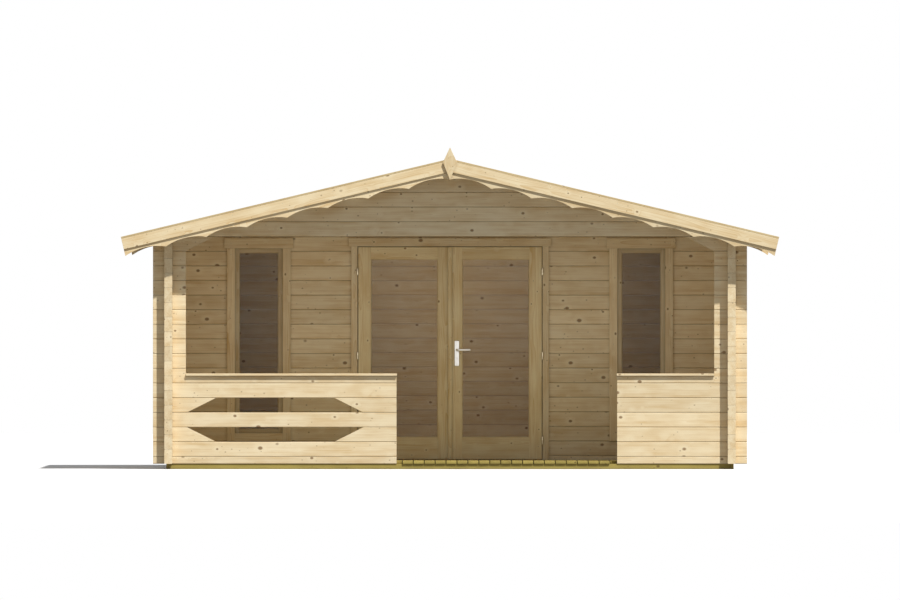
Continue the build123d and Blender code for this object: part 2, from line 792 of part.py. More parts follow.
def door_handle():
    """Both levers on one spindle."""
    outside = lever(leaf_depth[0] - PLATE_THICKNESS / 2, -1)
    inside = lever(leaf_depth[1] + PLATE_THICKNESS / 2, 1)
    spindle = block(
        HANDLE_X - SPINDLE_WIDTH / 2,
        HANDLE_X + SPINDLE_WIDTH / 2,
        leaf_depth[0] - PLATE_THICKNESS,
        leaf_depth[1] + PLATE_THICKNESS,
        HANDLE_Z - SPINDLE_WIDTH / 2,
        HANDLE_Z + SPINDLE_WIDTH / 2,
    )
    return outside + inside + spindle


def both_gables(make):
    """Makes a piece for the front gable and one for the rear."""
    return {"front": make(roof_front, -1), "rear": make(roof_rear, 1)}


def build_nodes():
    """Every piece of the cabin by its node name."""
    window_low = WINDOW_X - WINDOW_OPENING / 2
    window_high = WINDOW_X + WINDOW_OPENING / 2
    door_edge = DOOR_OPENING / 2
    low_courses = range(WINDOW_SILL_COURSE + 1)
    high_courses = range(WINDOW_SILL_COURSE + 1, HEAD_COURSE + 1)
    end_run = wall_run(-log_end_x, -window_high, front_y, high_courses)
    start_run = wall_run(window_high, log_end_x, front_y, high_courses)
    nodes = {
        "ground_bearers": bearers,
        "floor_joists": joists(),
        "veranda_deck": veranda_deck(),
        "room_floor": [room_floor()],
        "left_wall": side_wall(-1),
        "right_wall": side_wall(1),
        "rear_wall": wall_run(-log_end_x, log_end_x, rear_y, range(HEAD_COURSE + 1)),
        "rear_gable": gable(rear_y),
        "front_wall_left_base": wall_run(-log_end_x, -door_edge, front_y, low_courses),
        "front_wall_right_base": wall_run(door_edge, log_end_x, front_y, low_courses),
        "front_wall_left_end": end_run,
        "front_wall_right_end": start_run,
        "front_wall_left_pier": wall_run(-window_low, -door_edge, front_y, high_courses),
        "front_wall_right_pier": wall_run(door_edge, window_low, front_y, high_courses),
        "front_gable": gable(front_y),
        "veranda_gable": gable(veranda_y),
        "left_rail": left_rail(),
        "right_rail": right_rail(),
        "left_corner_logs": corner_stubs(-1),
        "right_corner_logs": corner_stubs(1),
        "left_rail_cap": [rail_cap(-stub_x + SEAT_GAP, ENTRANCE_LEFT + RAIL_CAP_NOSE)],
        "right_rail_cap": [rail_cap(ENTRANCE_RIGHT - RAIL_CAP_NOSE, stub_x - SEAT_GAP)],
        "roof_purlins": [purlin(*line) for line in purlin_lines()],
        "left_roof_boards": [roof_layer(-1, deck_length, 0, ROOF_BOARD, roof_front, roof_rear)],
        "right_roof_boards": [roof_layer(1, deck_length, 0, ROOF_BOARD, roof_front, roof_rear)],
        "eave_fascias": [fascia(-1), fascia(1)],
        "roof_edge_strips": edge_strips(),
    }
    for place, layers in both_gables(gable_layers).items():
        trim_span, barge_span, finial_span = layers
        width = TRIM_WIDTH if place == "front" else REAR_TRIM_WIDTH
        nodes[f"{place}_scallop_trim"] = [scallop_trim(side, width, *trim_span) for side in (-1, 1)]
        barges = [roof_layer(side, barge_length, 0, BARGE_WIDTH, *barge_span) for side in (-1, 1)]
        nodes[f"{place}_bargeboards"] = barges
        nodes[f"{place}_finial"] = [finial(*finial_span)]
    for name, x in (("left", -WINDOW_X), ("right", WINDOW_X)):
        nodes[f"{name}_window_frame"] = window_frame(x)
        nodes[f"{name}_window_casing"] = window_casing(x)
        nodes[f"{name}_window_sash"] = frame_members(sash_bounds(x), sash_widths, sash_depth)
        nodes[f"{name}_window_glass"] = [pane(sash_bounds(x), sash_widths, sash_depth)]
    nodes["door_frame"] = door_frame()
    nodes["door_stops"] = door_stops()
    nodes["door_casing"] = door_casing()
    for name, side in (("left", -1), ("right", 1)):
        nodes[f"{name}_door_leaf"] = door_leaf(side)
        nodes[f"{name}_door_glass"] = [pane(leaf_bounds(side), leaf_widths(side), leaf_depth)]
        nodes[f"{name}_door_hinges"] = [hinge_half(side, z, "leaf") for z in HINGE_HEIGHTS]
    nodes["frame_hinges"] = [hinge_half(side, z, "frame") for side in (-1, 1) for z in HINGE_HEIGHTS]
    nodes["door_astragal"] = [astragal()]
    nodes["door_handle_plates"] = handle_plates()
    nodes["door_handle"] = [door_handle()]
    return nodes


def main():
    """Writes one STEP file for each node."""
    os.makedirs("parts", exist_ok=True)
    for name, pieces in build_nodes().items():
        solids = [solid for piece in pieces for solid in piece.solids()]
        shape = solids[0] if len(solids) == 1 else Compound(children=solids)
        export_step(shape, os.path.join("parts", f"{name}.step"))


main()
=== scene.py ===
"""Log cabin with a covered veranda: timber finishes, planking, glazing beads, fittings and studio.

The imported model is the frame. Timber nodes are shown as copies with eased edges, and flat sheets as planks.
Their points carry a place in the wood, so that grain, knots and growth rings follow each log or board.
"""

import json
import logging
from dataclasses import dataclass
from enum import Enum

import bmesh
import bpy
import numpy as np
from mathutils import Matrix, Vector

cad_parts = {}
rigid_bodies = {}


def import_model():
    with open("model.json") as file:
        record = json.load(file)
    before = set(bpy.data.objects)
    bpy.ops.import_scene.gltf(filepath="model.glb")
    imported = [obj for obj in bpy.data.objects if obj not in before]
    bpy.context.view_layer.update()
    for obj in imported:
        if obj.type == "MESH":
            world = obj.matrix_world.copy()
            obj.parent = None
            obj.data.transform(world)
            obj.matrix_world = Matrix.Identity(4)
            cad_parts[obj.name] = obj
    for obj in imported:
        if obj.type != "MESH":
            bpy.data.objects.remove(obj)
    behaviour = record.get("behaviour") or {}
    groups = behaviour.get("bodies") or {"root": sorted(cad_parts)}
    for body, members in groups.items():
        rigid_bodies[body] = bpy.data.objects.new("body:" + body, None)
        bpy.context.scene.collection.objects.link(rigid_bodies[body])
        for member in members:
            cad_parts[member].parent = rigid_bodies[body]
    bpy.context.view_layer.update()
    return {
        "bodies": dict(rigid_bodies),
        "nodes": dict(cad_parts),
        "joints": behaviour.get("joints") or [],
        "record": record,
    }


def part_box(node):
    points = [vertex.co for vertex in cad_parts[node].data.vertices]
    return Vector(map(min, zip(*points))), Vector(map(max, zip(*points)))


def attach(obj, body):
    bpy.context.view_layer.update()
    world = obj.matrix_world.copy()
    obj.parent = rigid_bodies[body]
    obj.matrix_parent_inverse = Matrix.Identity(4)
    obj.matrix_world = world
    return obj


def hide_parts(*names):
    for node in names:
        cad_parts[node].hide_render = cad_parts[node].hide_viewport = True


LOG = logging.getLogger("log_cabin")
MM = 0.001
ROOF_PITCH = float(np.radians(13.35))
Y_AXIS = np.array([0.0, 1.0, 0.0])
Z_AXIS = np.array([0.0, 0.0, 1.0])
SIDES = (("left", -1), ("right", 1))
# Angles in radians: faces nearer than the first are one plane, and edges sharper than the second are eased
FLAT_ANGLE, EASED_ANGLE = 0.01, 1.0
# Edges sharper than this many radians stay sharp on a smooth piece
SHARP_ANGLE = 0.7
# A face leans if its normal has no longer part than this along an axis
LEAN_LIMIT = 0.93
# A direction is upright if its part along z is longer than this
UPRIGHT_LIMIT = 0.9

Socket = bpy.types.NodeSocket
Tree = bpy.types.NodeTree
Shape = tuple[np.ndarray, list[np.ndarray]]
Place = tuple[float, float, float]
Values = np.ndarray | tuple[float, ...] | float


class Body(Enum):
    """The bodies that pieces ride."""

    CABIN = "cabin"
    LEFT_DOOR = "left_door"
    RIGHT_DOOR = "right_door"
    HANDLE = "handle"


class Slot(Enum):
    """The material slots of the pieces made here."""

    LOG = "log"
    BOARD = "planed_board"
    JOINERY = "joinery"
    TREATED = "treated_board"
    STEEL = "steel"


class Run(Enum):
    """The ways a piece of timber may run: square to the walls, or along the slopes of the roof too."""

    LEVEL = "level"
    SLOPE = "slope"

    def axes(self) -> np.ndarray:
        """Lists the directions in which the grain of a piece may run.

        Returns:
            (k, 3) unit vectors.
        """
        if self is Run.LEVEL:
            return np.eye(3)
        c, s = np.cos(ROOF_PITCH), np.sin(ROOF_PITCH)
        return np.array([[c, 0, -s], [c, 0, s], [0, 1, 0], [0, 0, 1]])


class Kind(Enum):
    """The shader nodes in use, by their type names."""

    ATTRIBUTE = "ShaderNodeAttribute"
    BUMP = "ShaderNodeBump"
    COMBINE = "ShaderNodeCombineXYZ"
    COORDINATES = "ShaderNodeTexCoord"
    # Ambient occlusion, for painted shade in creases
    OCCLUSION_SHADE = "ShaderNodeAmbientOcclusion"
    LIGHT_PATH = "ShaderNodeLightPath"
    MAPPING = "ShaderNodeMapping"
    MAP_RANGE = "ShaderNodeMapRange"
    MATH = "ShaderNodeMath"
    MIX = "ShaderNodeMix"
    NOISE = "ShaderNodeTexNoise"
    SEPARATE = "ShaderNodeSeparateXYZ"
    VECTOR_MATH = "ShaderNodeVectorMath"
    VORONOI = "ShaderNodeTexVoronoi"


# Shader nodes


def hex_to_linear(code: str) -> tuple[float, float, float, float]:
    """Turns an sRGB hex colour into linear RGBA.

    Args:
        code: six hex digits after a hash.

    Returns:
        Linear red, green, blue and an alpha of 1.
    """
    srgb = np.array([int(code[i:i + 2], 16) for i in (1, 3, 5)]) / 255
    linear = np.where(srgb <= 0.04045, srgb / 12.92, ((srgb + 0.055) / 1.055) ** 2.4)
    return (*map(float, linear), 1.0)


def add_node(tree: Tree, kind: Kind, inputs: tuple | dict = (), **settings: object) -> bpy.types.Node:
    """Adds one shader node with its settings, and sets or links its inputs.

    Args:
        tree: the node tree that gets the node.
        kind: the kind of node.
        inputs: values or output sockets, in order, or by input name or index.
        **settings: attributes of the node, such as its operation.

    Returns:
        The new node.
    """
    made = tree.nodes.new(kind.value)
    for name, value in settings.items():
        setattr(made, name, value)
    pairs = inputs.items() if isinstance(inputs, dict) else enumerate(inputs)
    for key, value in pairs:
        if isinstance(value, Socket):
            tree.links.new(value, made.inputs[key])
        else:
            made.inputs[key].default_value = value
    return made


def seen_directly(tree: Tree) -> Socket:
    """Tells what is looked at from light that only falls on things.

    Args:
        tree: the node tree of the floor or the surroundings.

    Returns:
        A socket that is 1 for what the camera, a mirror or a pane shows, and 0 otherwise.
    """
    path = add_node(tree, Kind.LIGHT_PATH).outputs
    rays = (path["Is Camera Ray"], path["Is Glossy Ray"])
    seen = add_node(tree, Kind.MATH, rays, operation="MAXIMUM").outputs[0]
    rays = (seen, path["Is Transmission Ray"])
    return add_node(tree, Kind.MATH, rays, operation="MAXIMUM").outputs[0]


# Finishes


@dataclass(frozen=True)
class Finish:
    """A finish, which becomes a material the first time it is asked for."""

    name: str

    def material(self) -> bpy.types.Material:
        """Finds the material of the finish, or makes it.

        Returns:
            The material.
        """
        mat = bpy.data.materials.get(self.name)
        if mat is None:
            mat = bpy.data.materials.new(self.name)
            mat.use_nodes = True
            self.dress(mat.node_tree, mat.node_tree.nodes["Principled BSDF"])
        return mat

    def dress(self, tree: Tree, shader: bpy.types.Node) -> None:
        """Adds the nodes of the finish round its shader; each kind of finish has its own."""
        raise NotImplementedError


@dataclass(frozen=True)
class WoodFinish(Finish):
    """Softwood, planed, sanded or sawn.

    It gives the eye pale earlywood with thin darker latewood lines, round brown knots in paler wood, a tone
    that changes from piece to piece, painted shade in creases and down in the grooves between logs, and a
    dry, faintly ridged surface. Sizes of patterns are along and across the grain. The streak of the fibres
    is drawn about 14 mm wide, coarser than real fibre, so that it shows at the size of the render. Weights
    say how far ring lines, streak and cloud count.
    """

    early: str
    late: str
    knot: str
    ring_mm: float = 5.0
    pith_mm: float = 30.0
    wander_mm: float = 50.0
    knots_per_m: float = 9.0
    knot_mm: float = 15.0
    tone_spread: float = 0.12
    roughness: float = 0.62
    relief_mm: float = 0.5
    # Painted shade near other pieces: how far the ambient occlusion reaches and how much it darkens
    crease_shade_reach_mm: float = 30.0
    crease_shade_depth: float = 0.4
    # How much painted shade darkens the bottom of the grooves between logs
    joint_shade_depth: float = 0.26
    drift_mm: tuple[float, float] = (1250.0, 166.6667)
    streak_mm: tuple[float, float] = (625.0, 14.2857)
    cloud_mm: tuple[float, float] = (294.1176, 76.9231)
    weights: tuple[float, float, float] = (0.5, 1.1, 1.3)
    weight_base: float = -1.02
    pin_knots: float = 2.2
    pin_size: float = 0.42
    knot_push_mm: float = 8.0
    pattern_m: float = 37.0

    def dress(self, tree: Tree, shader: bpy.types.Node) -> None:
        """Adds the nodes of the wood.

        Rings, a streak along the grain and slow clouds of tone mix earlywood and latewood. Knots of two sizes
        are laid over that, and a level for each piece darkens the whole, with painted shade in creases and
        down in the grooves between logs.

        Args:
            tree: the material's node tree.
            shader: its surface shader.
        """
        place = add_node(tree, Kind.ATTRIBUTE, attribute_name="wood").outputs["Vector"]
        tone = add_node(tree, Kind.ATTRIBUTE, attribute_name="tone").outputs["Fac"]
        # Each piece is cut from another stretch of one long pattern
        away = add_node(tree, Kind.MATH, (tone, self.pattern_m), operation="MULTIPLY").outputs[0]
        shift = add_node(tree, Kind.COMBINE, (away, 0.0, 0.0)).outputs[0]
        moved = add_node(tree, Kind.VECTOR_MATH, (place, shift), operation="ADD").outputs[0]

        knot, halo = self.knots(tree, moved, self.knots_per_m, self.knot_mm)
        pins_per_m, pin_mm = self.knots_per_m * self.pin_knots, self.knot_mm * self.pin_size
        pin_knot, _ = self.knots(tree, moved, pins_per_m, pin_mm)
        line = self.rings(tree, place, moved, tone, halo)
        streak = self.stretched_noise(tree, moved, self.streak_mm, 4.0, 0.6).outputs["Fac"]
        cloud = self.stretched_noise(tree, moved, self.cloud_mm, 2.0, 0.5).outputs["Fac"]
        grain = self.weight_base
        for pattern, weight in zip((line, streak, cloud), self.weights):
            terms, last = (pattern, weight, grain), pattern is cloud
            grain = add_node(tree, Kind.MATH, terms, operation="MULTIPLY_ADD", use_clamp=last).outputs[0]
        early, late, dark = (hex_to_linear(code) for code in (self.early, self.late, self.knot))
        colour = add_node(tree, Kind.MIX, {0: grain, 6: early, 7: late}, data_type="RGBA").outputs[2]
        for where, share, paint in ((halo, 0.6, early), (pin_knot, 0.5, dark), (knot, 0.8, dark)):
            amount = add_node(tree, Kind.MATH, (where, share), operation="MULTIPLY").outputs[0]
            colour = add_node(tree, Kind.MIX, {0: amount, 6: colour, 7: paint}, data_type="RGBA").outputs[2]
        level = self.level(tree, tone)
        colour = add_node(tree, Kind.VECTOR_MATH, {0: colour, 3: level}, operation="SCALE").outputs[0]

        height = add_node(tree, Kind.MATH, (line, -0.5), operation="MULTIPLY").outputs[0]
        height = add_node(tree, Kind.MATH, (streak, 0.8, height), operation="MULTIPLY_ADD").outputs[0]
        ridges = {"Height": height, "Strength": 0.35, "Distance": self.relief_mm * MM}
        bump = add_node(tree, Kind.BUMP, ridges).outputs[0]
        shine = (streak, 0.16, self.roughness - 0.08)
        dull = add_node(tree, Kind.MATH, shine, operation="MULTIPLY_ADD").outputs[0]
        tree.links.new(colour, shader.inputs["Base Color"])
        tree.links.new(dull, shader.inputs["Roughness"])
        tree.links.new(bump, shader.inputs["Normal"])
        shader.inputs["Specular IOR Level"].default_value = 0.3

    def stretched_noise(self, tree: Tree, place: Socket, size_mm: tuple[float, float], detail: float,
                        roughness: float) -> bpy.types.Node:
        """Adds a noise that is stretched along the grain.

        Args:
            tree: the material's node tree.
            place: the place in the wood.
            size_mm: size of the pattern along and across the grain.
            detail: octaves of the noise.
            roughness: strength of its finer octaves.

        Returns:
            The noise node.
        """
        along, across = (1.0 / (size * MM) for size in size_mm)
        at = add_node(tree, Kind.MAPPING, {"Vector": place, "Scale": (along, across, across)}).outputs[0]
        octaves = {"Vector": at, "Scale": 1.0, "Detail": detail, "Roughness": roughness}
        return add_node(tree, Kind.NOISE, octaves)

    def rings(self, tree: Tree, place: Socket, moved: Socket, tone: Socket, halo: Socket) -> Socket:
        """Draws growth rings: cylinders round a pith that wanders along the piece.

        The distance from the pith over the width of a ring, wrapped to 0..1 and raised to a power, is a light
        band that darkens to a thin line. Knots push the rings out.

        Args:
            tree: the material's node tree.
            place: the place in the piece of wood.
            moved: the same place along the one long pattern.
            tone: the tone of the piece, which also sets the height of its pith.
            halo: 1 near a knot.

        Returns:
            A socket that is 1 on a latewood line.
        """
        wander = self.stretched_noise(tree, moved, self.drift_mm, 2.0, 0.5)
        drift = add_node(tree, Kind.SEPARATE, (wander.outputs["Color"],)).outputs
        here = add_node(tree, Kind.SEPARATE, (place,)).outputs
        reach, swing = self.pith_mm * MM, self.wander_mm * MM
        # How far the pith lies aside and below, by the drift along the piece and by the tone of the piece
        aside = (drift[0], swing, reach - swing / 2)
        sway = (drift[1], swing, -swing / 2)
        lift = (tone, reach * 1.6, -reach * 0.8)
        aside, sway, lift = (
            add_node(tree, Kind.MATH, terms, operation="MULTIPLY_ADD").outputs[0]
            for terms in (aside, sway, lift))
        across = add_node(tree, Kind.MATH, (here[1], aside), operation="ADD").outputs[0]
        upward = add_node(tree, Kind.MATH, (here[2], lift), operation="ADD").outputs[0]
        upward = add_node(tree, Kind.MATH, (upward, sway), operation="ADD").outputs[0]
        spoke = add_node(tree, Kind.COMBINE, (0.0, across, upward)).outputs[0]
        radius = add_node(tree, Kind.VECTOR_MATH, (spoke,), operation="LENGTH").outputs["Value"]
        push = (halo, self.knot_push_mm * MM, radius)
        bent = add_node(tree, Kind.MATH, push, operation="MULTIPLY_ADD").outputs[0]
        count = add_node(tree, Kind.MATH, (bent, self.ring_mm * MM), operation="DIVIDE").outputs[0]
        turn = add_node(tree, Kind.MATH, (count,), operation="FRACT").outputs[0]
        return add_node(tree, Kind.MATH, (turn, 2.6), operation="POWER").outputs[0]

    def knots(self, tree: Tree, place: Socket, per_m: float, size_mm: float) -> tuple[Socket, Socket]:
        """Draws round knots, one in each cell of a Voronoi pattern, a little longer along the grain.

        Args:
            tree: the material's node tree.
            place: the place along the one long pattern.
            per_m: cells a metre.
            size_mm: radius of an average knot.

        Returns:
            Sockets that are 1 in a knot and 1 in the pale wood round it.
        """
        at = add_node(tree, Kind.MAPPING, {"Vector": place, "Scale": (0.75, 1.0, 1.0)}).outputs[0]
        cells = add_node(tree, Kind.VORONOI, {"Vector": at, "Scale": per_m, "Randomness": 1.0})
        chance = add_node(tree, Kind.SEPARATE, (cells.outputs["Color"],)).outputs[0]
        swell = add_node(tree, Kind.MATH, (chance, 0.4), operation="ADD").outputs[0]
        reach = add_node(tree, Kind.MATH, (cells.outputs["Distance"], swell), operation="DIVIDE").outputs[0]
        share = size_mm * MM * per_m
        found = []
        for low, high in ((0.45, 1.0), (0.9, 3.0)):
            ends = {"From Min": share * low, "From Max": share * high, "To Min": 1.0, "To Max": 0.0}
            ends["Value"] = reach
            found.append(add_node(tree, Kind.MAP_RANGE, ends, interpolation_type="SMOOTHSTEP").outputs[0])
        return found[0], found[1]

    def level(self, tree: Tree, tone: Socket) -> Socket:
        """Works out how light the wood is: by piece, and with painted shade in grooves and creases.

        Args:
            tree: the material's node tree.
            tone: the tone of the piece.

        Returns:
            A socket with a factor for the colour.
        """
        # Painted shade: darker at the bottom of the grooves between logs
        groove_shade_mark = add_node(tree, Kind.ATTRIBUTE, attribute_name="joint_shade").outputs["Fac"]
        # Painted shade: darker where ambient occlusion finds other pieces near
        unoccluded = add_node(tree, Kind.OCCLUSION_SHADE, {"Distance": self.crease_shade_reach_mm * MM}, samples=4).outputs["AO"]
        piece = (tone, self.tone_spread, 1.0 - self.tone_spread * 0.62)
        joint_shade = (groove_shade_mark, -self.joint_shade_depth, 1.0)
        crease_shade = (unoccluded, self.crease_shade_depth, 1.0 - self.crease_shade_depth)
        piece, joint_shade, crease_shade = (
            add_node(tree, Kind.MATH, terms, operation="MULTIPLY_ADD").outputs[0]
            for terms in (piece, joint_shade, crease_shade))
        level = add_node(tree, Kind.MATH, (piece, joint_shade), operation="MULTIPLY").outputs[0]
        return add_node(tree, Kind.MATH, (level, crease_shade), operation="MULTIPLY").outputs[0]


@dataclass(frozen=True)
class GlassFinish(Finish):
    """Clear float glass: faint sharp reflections and a slight dark tint over what is seen through it."""

    name: str = "float_glass"
    tint: str = "#2c2a22"
    alpha: float = 0.24
    ripple_mm: float = 714.2857

    def dress(self, tree: Tree, shader: bpy.types.Node) -> None:
        """Adds the nodes: a dark, sharp surface with a slow ripple, which lets most light through.

        Args:
            tree: the material's node tree.
            shader: its surface shader.
        """
        place = add_node(tree, Kind.COORDINATES).outputs["Object"]
        waves = {"Vector": place, "Scale": 1.0 / (self.ripple_mm * MM), "Detail": 1.0}
        ripple = add_node(tree, Kind.NOISE, waves).outputs["Fac"]
        swell = {"Height": ripple, "Strength": 0.02, "Distance": 2.0 * MM}
        bump = add_node(tree, Kind.BUMP, swell).outputs[0]
        dull = add_node(tree, Kind.MATH, (ripple, 0.01, 0.01), operation="MULTIPLY_ADD").outputs[0]
        tree.links.new(bump, shader.inputs["Normal"])
        tree.links.new(dull, shader.inputs["Roughness"])
        shader.inputs["Base Color"].default_value = hex_to_linear(self.tint)
        shader.inputs["Alpha"].default_value = self.alpha
        shader.inputs["Specular IOR Level"].default_value = 0.5


@dataclass(frozen=True)
class SteelFinish(Finish):
    """Satin or zinc-plated steel: soft reflections drawn out by upright brush lines.

    The lines are drawn 0.4 mm wide, coarser than real ones, so that they show close up.
    """

    colour: str
    roughness: float
    worn: str = "#8d8a84"
    brush_mm: tuple[float, float, float] = (0.4, 0.4, 20.0)

    def dress(self, tree: Tree, shader: bpy.types.Node) -> None:
        """Adds the nodes: brush lines vary its colour and roughness and give a faint relief.

        Args:
            tree: the material's node tree.
            shader: its surface shader.
        """
        place = add_node(tree, Kind.COORDINATES).outputs["Object"]
        scale = tuple(1.0 / (size * MM) for size in self.brush_mm)
        at = add_node(tree, Kind.MAPPING, {"Vector": place, "Scale": scale}).outputs[0]
        lines = add_node(tree, Kind.NOISE, {"Vector": at, "Scale": 1.0, "Detail": 2.0}).outputs["Fac"]
        shine = (lines, 0.18, self.roughness - 0.09)
        dull = add_node(tree, Kind.MATH, shine, operation="MULTIPLY_ADD").outputs[0]
        bump = add_node(tree, Kind.BUMP, {"Height": lines, "Strength": 0.08, "Distance": 0.2 * MM}).outputs[0]
        share = add_node(tree, Kind.MATH, (lines, 0.25), operation="MULTIPLY").outputs[0]
        tones = {0: share, 6: hex_to_linear(self.colour), 7: hex_to_linear(self.worn)}
        colour = add_node(tree, Kind.MIX, tones, data_type="RGBA").outputs[2]
        tree.links.new(dull, shader.inputs["Roughness"])
        tree.links.new(bump, shader.inputs["Normal"])
        tree.links.new(colour, shader.inputs["Base Color"])
        shader.inputs["Metallic"].default_value = 1.0


@dataclass(frozen=True)
class FloorFinish(Finish):
    """Pale matt studio floor: nearly white where it is looked at, and greyer for the light it throws back."""

    name: str = "pale_studio_floor"
    pale: str = "#f6f5f3"
    fleck: str = "#f9f8f6"
    bounce: str = "#8c8a85"
    fleck_mm: float = 333.3333

    def dress(self, tree: Tree, shader: bpy.types.Node) -> None:
        """Adds the nodes: two near whites in slow flecks.

        Args:
            tree: the material's node tree.
            shader: its surface shader.
        """
        place = add_node(tree, Kind.COORDINATES).outputs["Object"]
        flecks = {"Vector": place, "Scale": 1.0 / (self.fleck_mm * MM), "Detail": 3.0}
        share = add_node(tree, Kind.NOISE, flecks).outputs["Fac"]
        whites = {0: share, 6: hex_to_linear(self.pale), 7: hex_to_linear(self.fleck)}
        white = add_node(tree, Kind.MIX, whites, data_type="RGBA").outputs[2]
        shades = {0: seen_directly(tree), 6: hex_to_linear(self.bounce), 7: white}
        colour = add_node(tree, Kind.MIX, shades, data_type="RGBA").outputs[2]
        tree.links.new(colour, shader.inputs["Base Color"])
        shader.inputs["Roughness"].default_value = 0.9


# Logs: planed, pale cream with golden lines, with lighter painted shade in creases
SPRUCE_LOG = WoodFinish("planed_spruce_log", "#f5e3bd", "#d6b47c", "#76501e", crease_shade_depth=0.25)
# Trim, casings and floor: flat-sawn boards with wider rings
SPRUCE_BOARD = WoodFinish("planed_spruce_board", "#f4e1b9", "#d6b37a", "#76501e", ring_mm=6.0, pith_mm=75.0)
# Doors: sanded, smoother, with small knots only
SPRUCE_JOINERY = WoodFinish("sanded_spruce_joinery", "#f4e1b3", "#d8b577", "#85562a", pith_mm=90.0,
                            knots_per_m=11.0, knot_mm=8.0, roughness=0.5, relief_mm=0.3)
# Window sashes and beads: the same wood, with painted shade that makes them darker than their casings
SHADED_SPRUCE_SASH = WoodFinish("sanded_spruce_sash_in_painted_shade", "#d7c6a1", "#bd9e6c", "#76501e", pith_mm=90.0,
                         knots_per_m=11.0, knot_mm=8.0, roughness=0.5, relief_mm=0.3)
# Roof boards: rough, greyer, and uneven in tone
SPRUCE_ROOF = WoodFinish("rough_spruce_roof_board", "#d2bd93", "#b3966a", "#7d5430", ring_mm=7.0,
                         pith_mm=70.0, tone_spread=0.24, roughness=0.72)
# Strips on the roof's edges: sawn, a shade darker than the trim below them
SPRUCE_STRIP = WoodFinish("sawn_spruce_edge_strip", "#dcc697", "#bc9c66", "#76501e", ring_mm=6.0,
                          pith_mm=60.0, roughness=0.7)
# Bearers and veranda boards: green and yellow from the treatment
TREATED_PINE = WoodFinish("pressure_treated_pine", "#b3a055", "#8b793a", "#5f4a22", ring_mm=6.0,
                          pith_mm=60.0, knot_mm=14.0, tone_spread=0.2, roughness=0.7)
GLASS = GlassFinish()
# Lever and lock plates: bright, soft highlights
SATIN_STEEL = SteelFinish("satin_stainless_steel", "#e4e0d8", 0.32)
# Hinges and screws: warmer and duller
ZINC_STEEL = SteelFinish("yellow_zinc_plated_steel", "#ddd0b2", 0.42)


# Meshes


def link_mesh(name: str, mesh: bpy.types.Mesh, mat: bpy.types.Material) -> bpy.types.Object:
    """Puts a mesh into the scene as an object at the origin.

    Args:
        name: the piece's name.
        mesh: its mesh.
        mat: its finish.

    Returns:
        The linked object.
    """
    mesh.materials.clear()
    mesh.materials.append(mat)
    made = bpy.data.objects.new(name, mesh)
    bpy.context.scene.collection.objects.link(made)
    return made


def put_shape(name: str, shape: Shape, mat: bpy.types.Material, smooth: bool = False) -> bpy.types.Object:
    """Makes an object at the origin from points and faces, with its faces turned outwards.

    Args:
        name: the piece's name.
        shape: points in metres and groups of faces.
        mat: the finish.
        smooth: whether its rounded faces are shaded as one surface.

    Returns:
        The linked object.
    """
    points, groups = shape
    mesh = bpy.data.meshes.new(name)
    mesh.from_pydata(points.reshape(-1, 3), [], [row for group in groups for row in group.tolist()])
    mesh.validate()
    work = bmesh.new()
    work.from_mesh(mesh)
    bmesh.ops.recalc_face_normals(work, faces=work.faces)
    work.to_mesh(mesh)
    work.free()
    if smooth:
        mesh.shade_smooth()
        mesh.set_sharp_from_angle(angle=SHARP_ANGLE)
    return link_mesh(name, mesh, mat)


def set_wood(mesh: bpy.types.Mesh, wood: np.ndarray, tone: np.ndarray, joint_shade: np.ndarray) -> None:
    """Stores places in the wood, tones, and the face corners that get painted shade down in a groove.

    Args:
        mesh: the mesh.
        wood: (n, 3) each point's place in its own piece of wood.
        tone: (n,) each piece's tone.
        joint_shade: (n,) 1 for points down in a groove, to get painted shade on the faces that lean in.
    """
    places = mesh.attributes.new("wood", "FLOAT_VECTOR", "POINT")
    places.data.foreach_set("vector", wood.astype(np.float32).ravel())
    tones = mesh.attributes.new("tone", "FLOAT", "POINT")
    tones.data.foreach_set("value", tone.astype(np.float32).ravel())
    corners = np.empty(len(mesh.loops), dtype=np.int64)
    mesh.loops.foreach_get("vertex_index", corners)
    counts = np.empty(len(mesh.polygons), dtype=np.int64)
    mesh.polygons.foreach_get("loop_total", counts)
    normals = np.empty(len(mesh.polygons) * 3)
    mesh.polygons.foreach_get("normal", normals)
    # Painted shade goes only on faces that lean down into a groove
    leaning = np.abs(normals.reshape(-1, 3)).max(axis=1) < LEAN_LIMIT
    shade = joint_shade.ravel()[corners] * np.repeat(leaning, counts)
    joints = mesh.attributes.new("joint_shade", "FLOAT", "CORNER")
    joints.data.foreach_set("value", shade.astype(np.float32))


def tube_faces(rows: int, sides: int, closed: bool = False) -> list[np.ndarray]:
    """Numbers the faces of a tube made of rings.

    Point (i, j) has the number i * sides + j. A quad joins (i, j), (i, j + 1), (i + 1, j + 1) and (i + 1, j).

    Args:
        rows: rings along the tube.
        sides: points in a ring.
        closed: whether the last ring joins the first. Otherwise a face closes each end.

    Returns:
        Groups of faces, each (k, points a face).
    """
    row, col = np.meshgrid(np.arange(rows if closed else rows - 1), np.arange(sides), indexing="ij")
    here = row * sides + col
    after = row * sides + (col + 1) % sides
    total = rows * sides
    quads = np.stack([here, after, (after + sides) % total, (here + sides) % total], axis=-1).reshape(-1, 4)
    if closed:
        return [quads]
    ring = np.arange(sides)[None]
    return [quads, ring[:, ::-1], ring + (rows - 1) * sides]


def copies(points: np.ndarray) -> Shape:
    """Makes one shape of several equal tubes.

    Args:
        points: (tubes, rows, sides, 3) places.

    Returns:
        The points and the faces of all tubes.
    """
    count, rows, sides = points.shape[:3]
    first = (np.arange(count) * rows * sides)[:, None, None]
    groups = [group[None] + first for group in tube_faces(rows, sides)]
    return points, [group.reshape(-1, group.shape[2]) for group in groups]


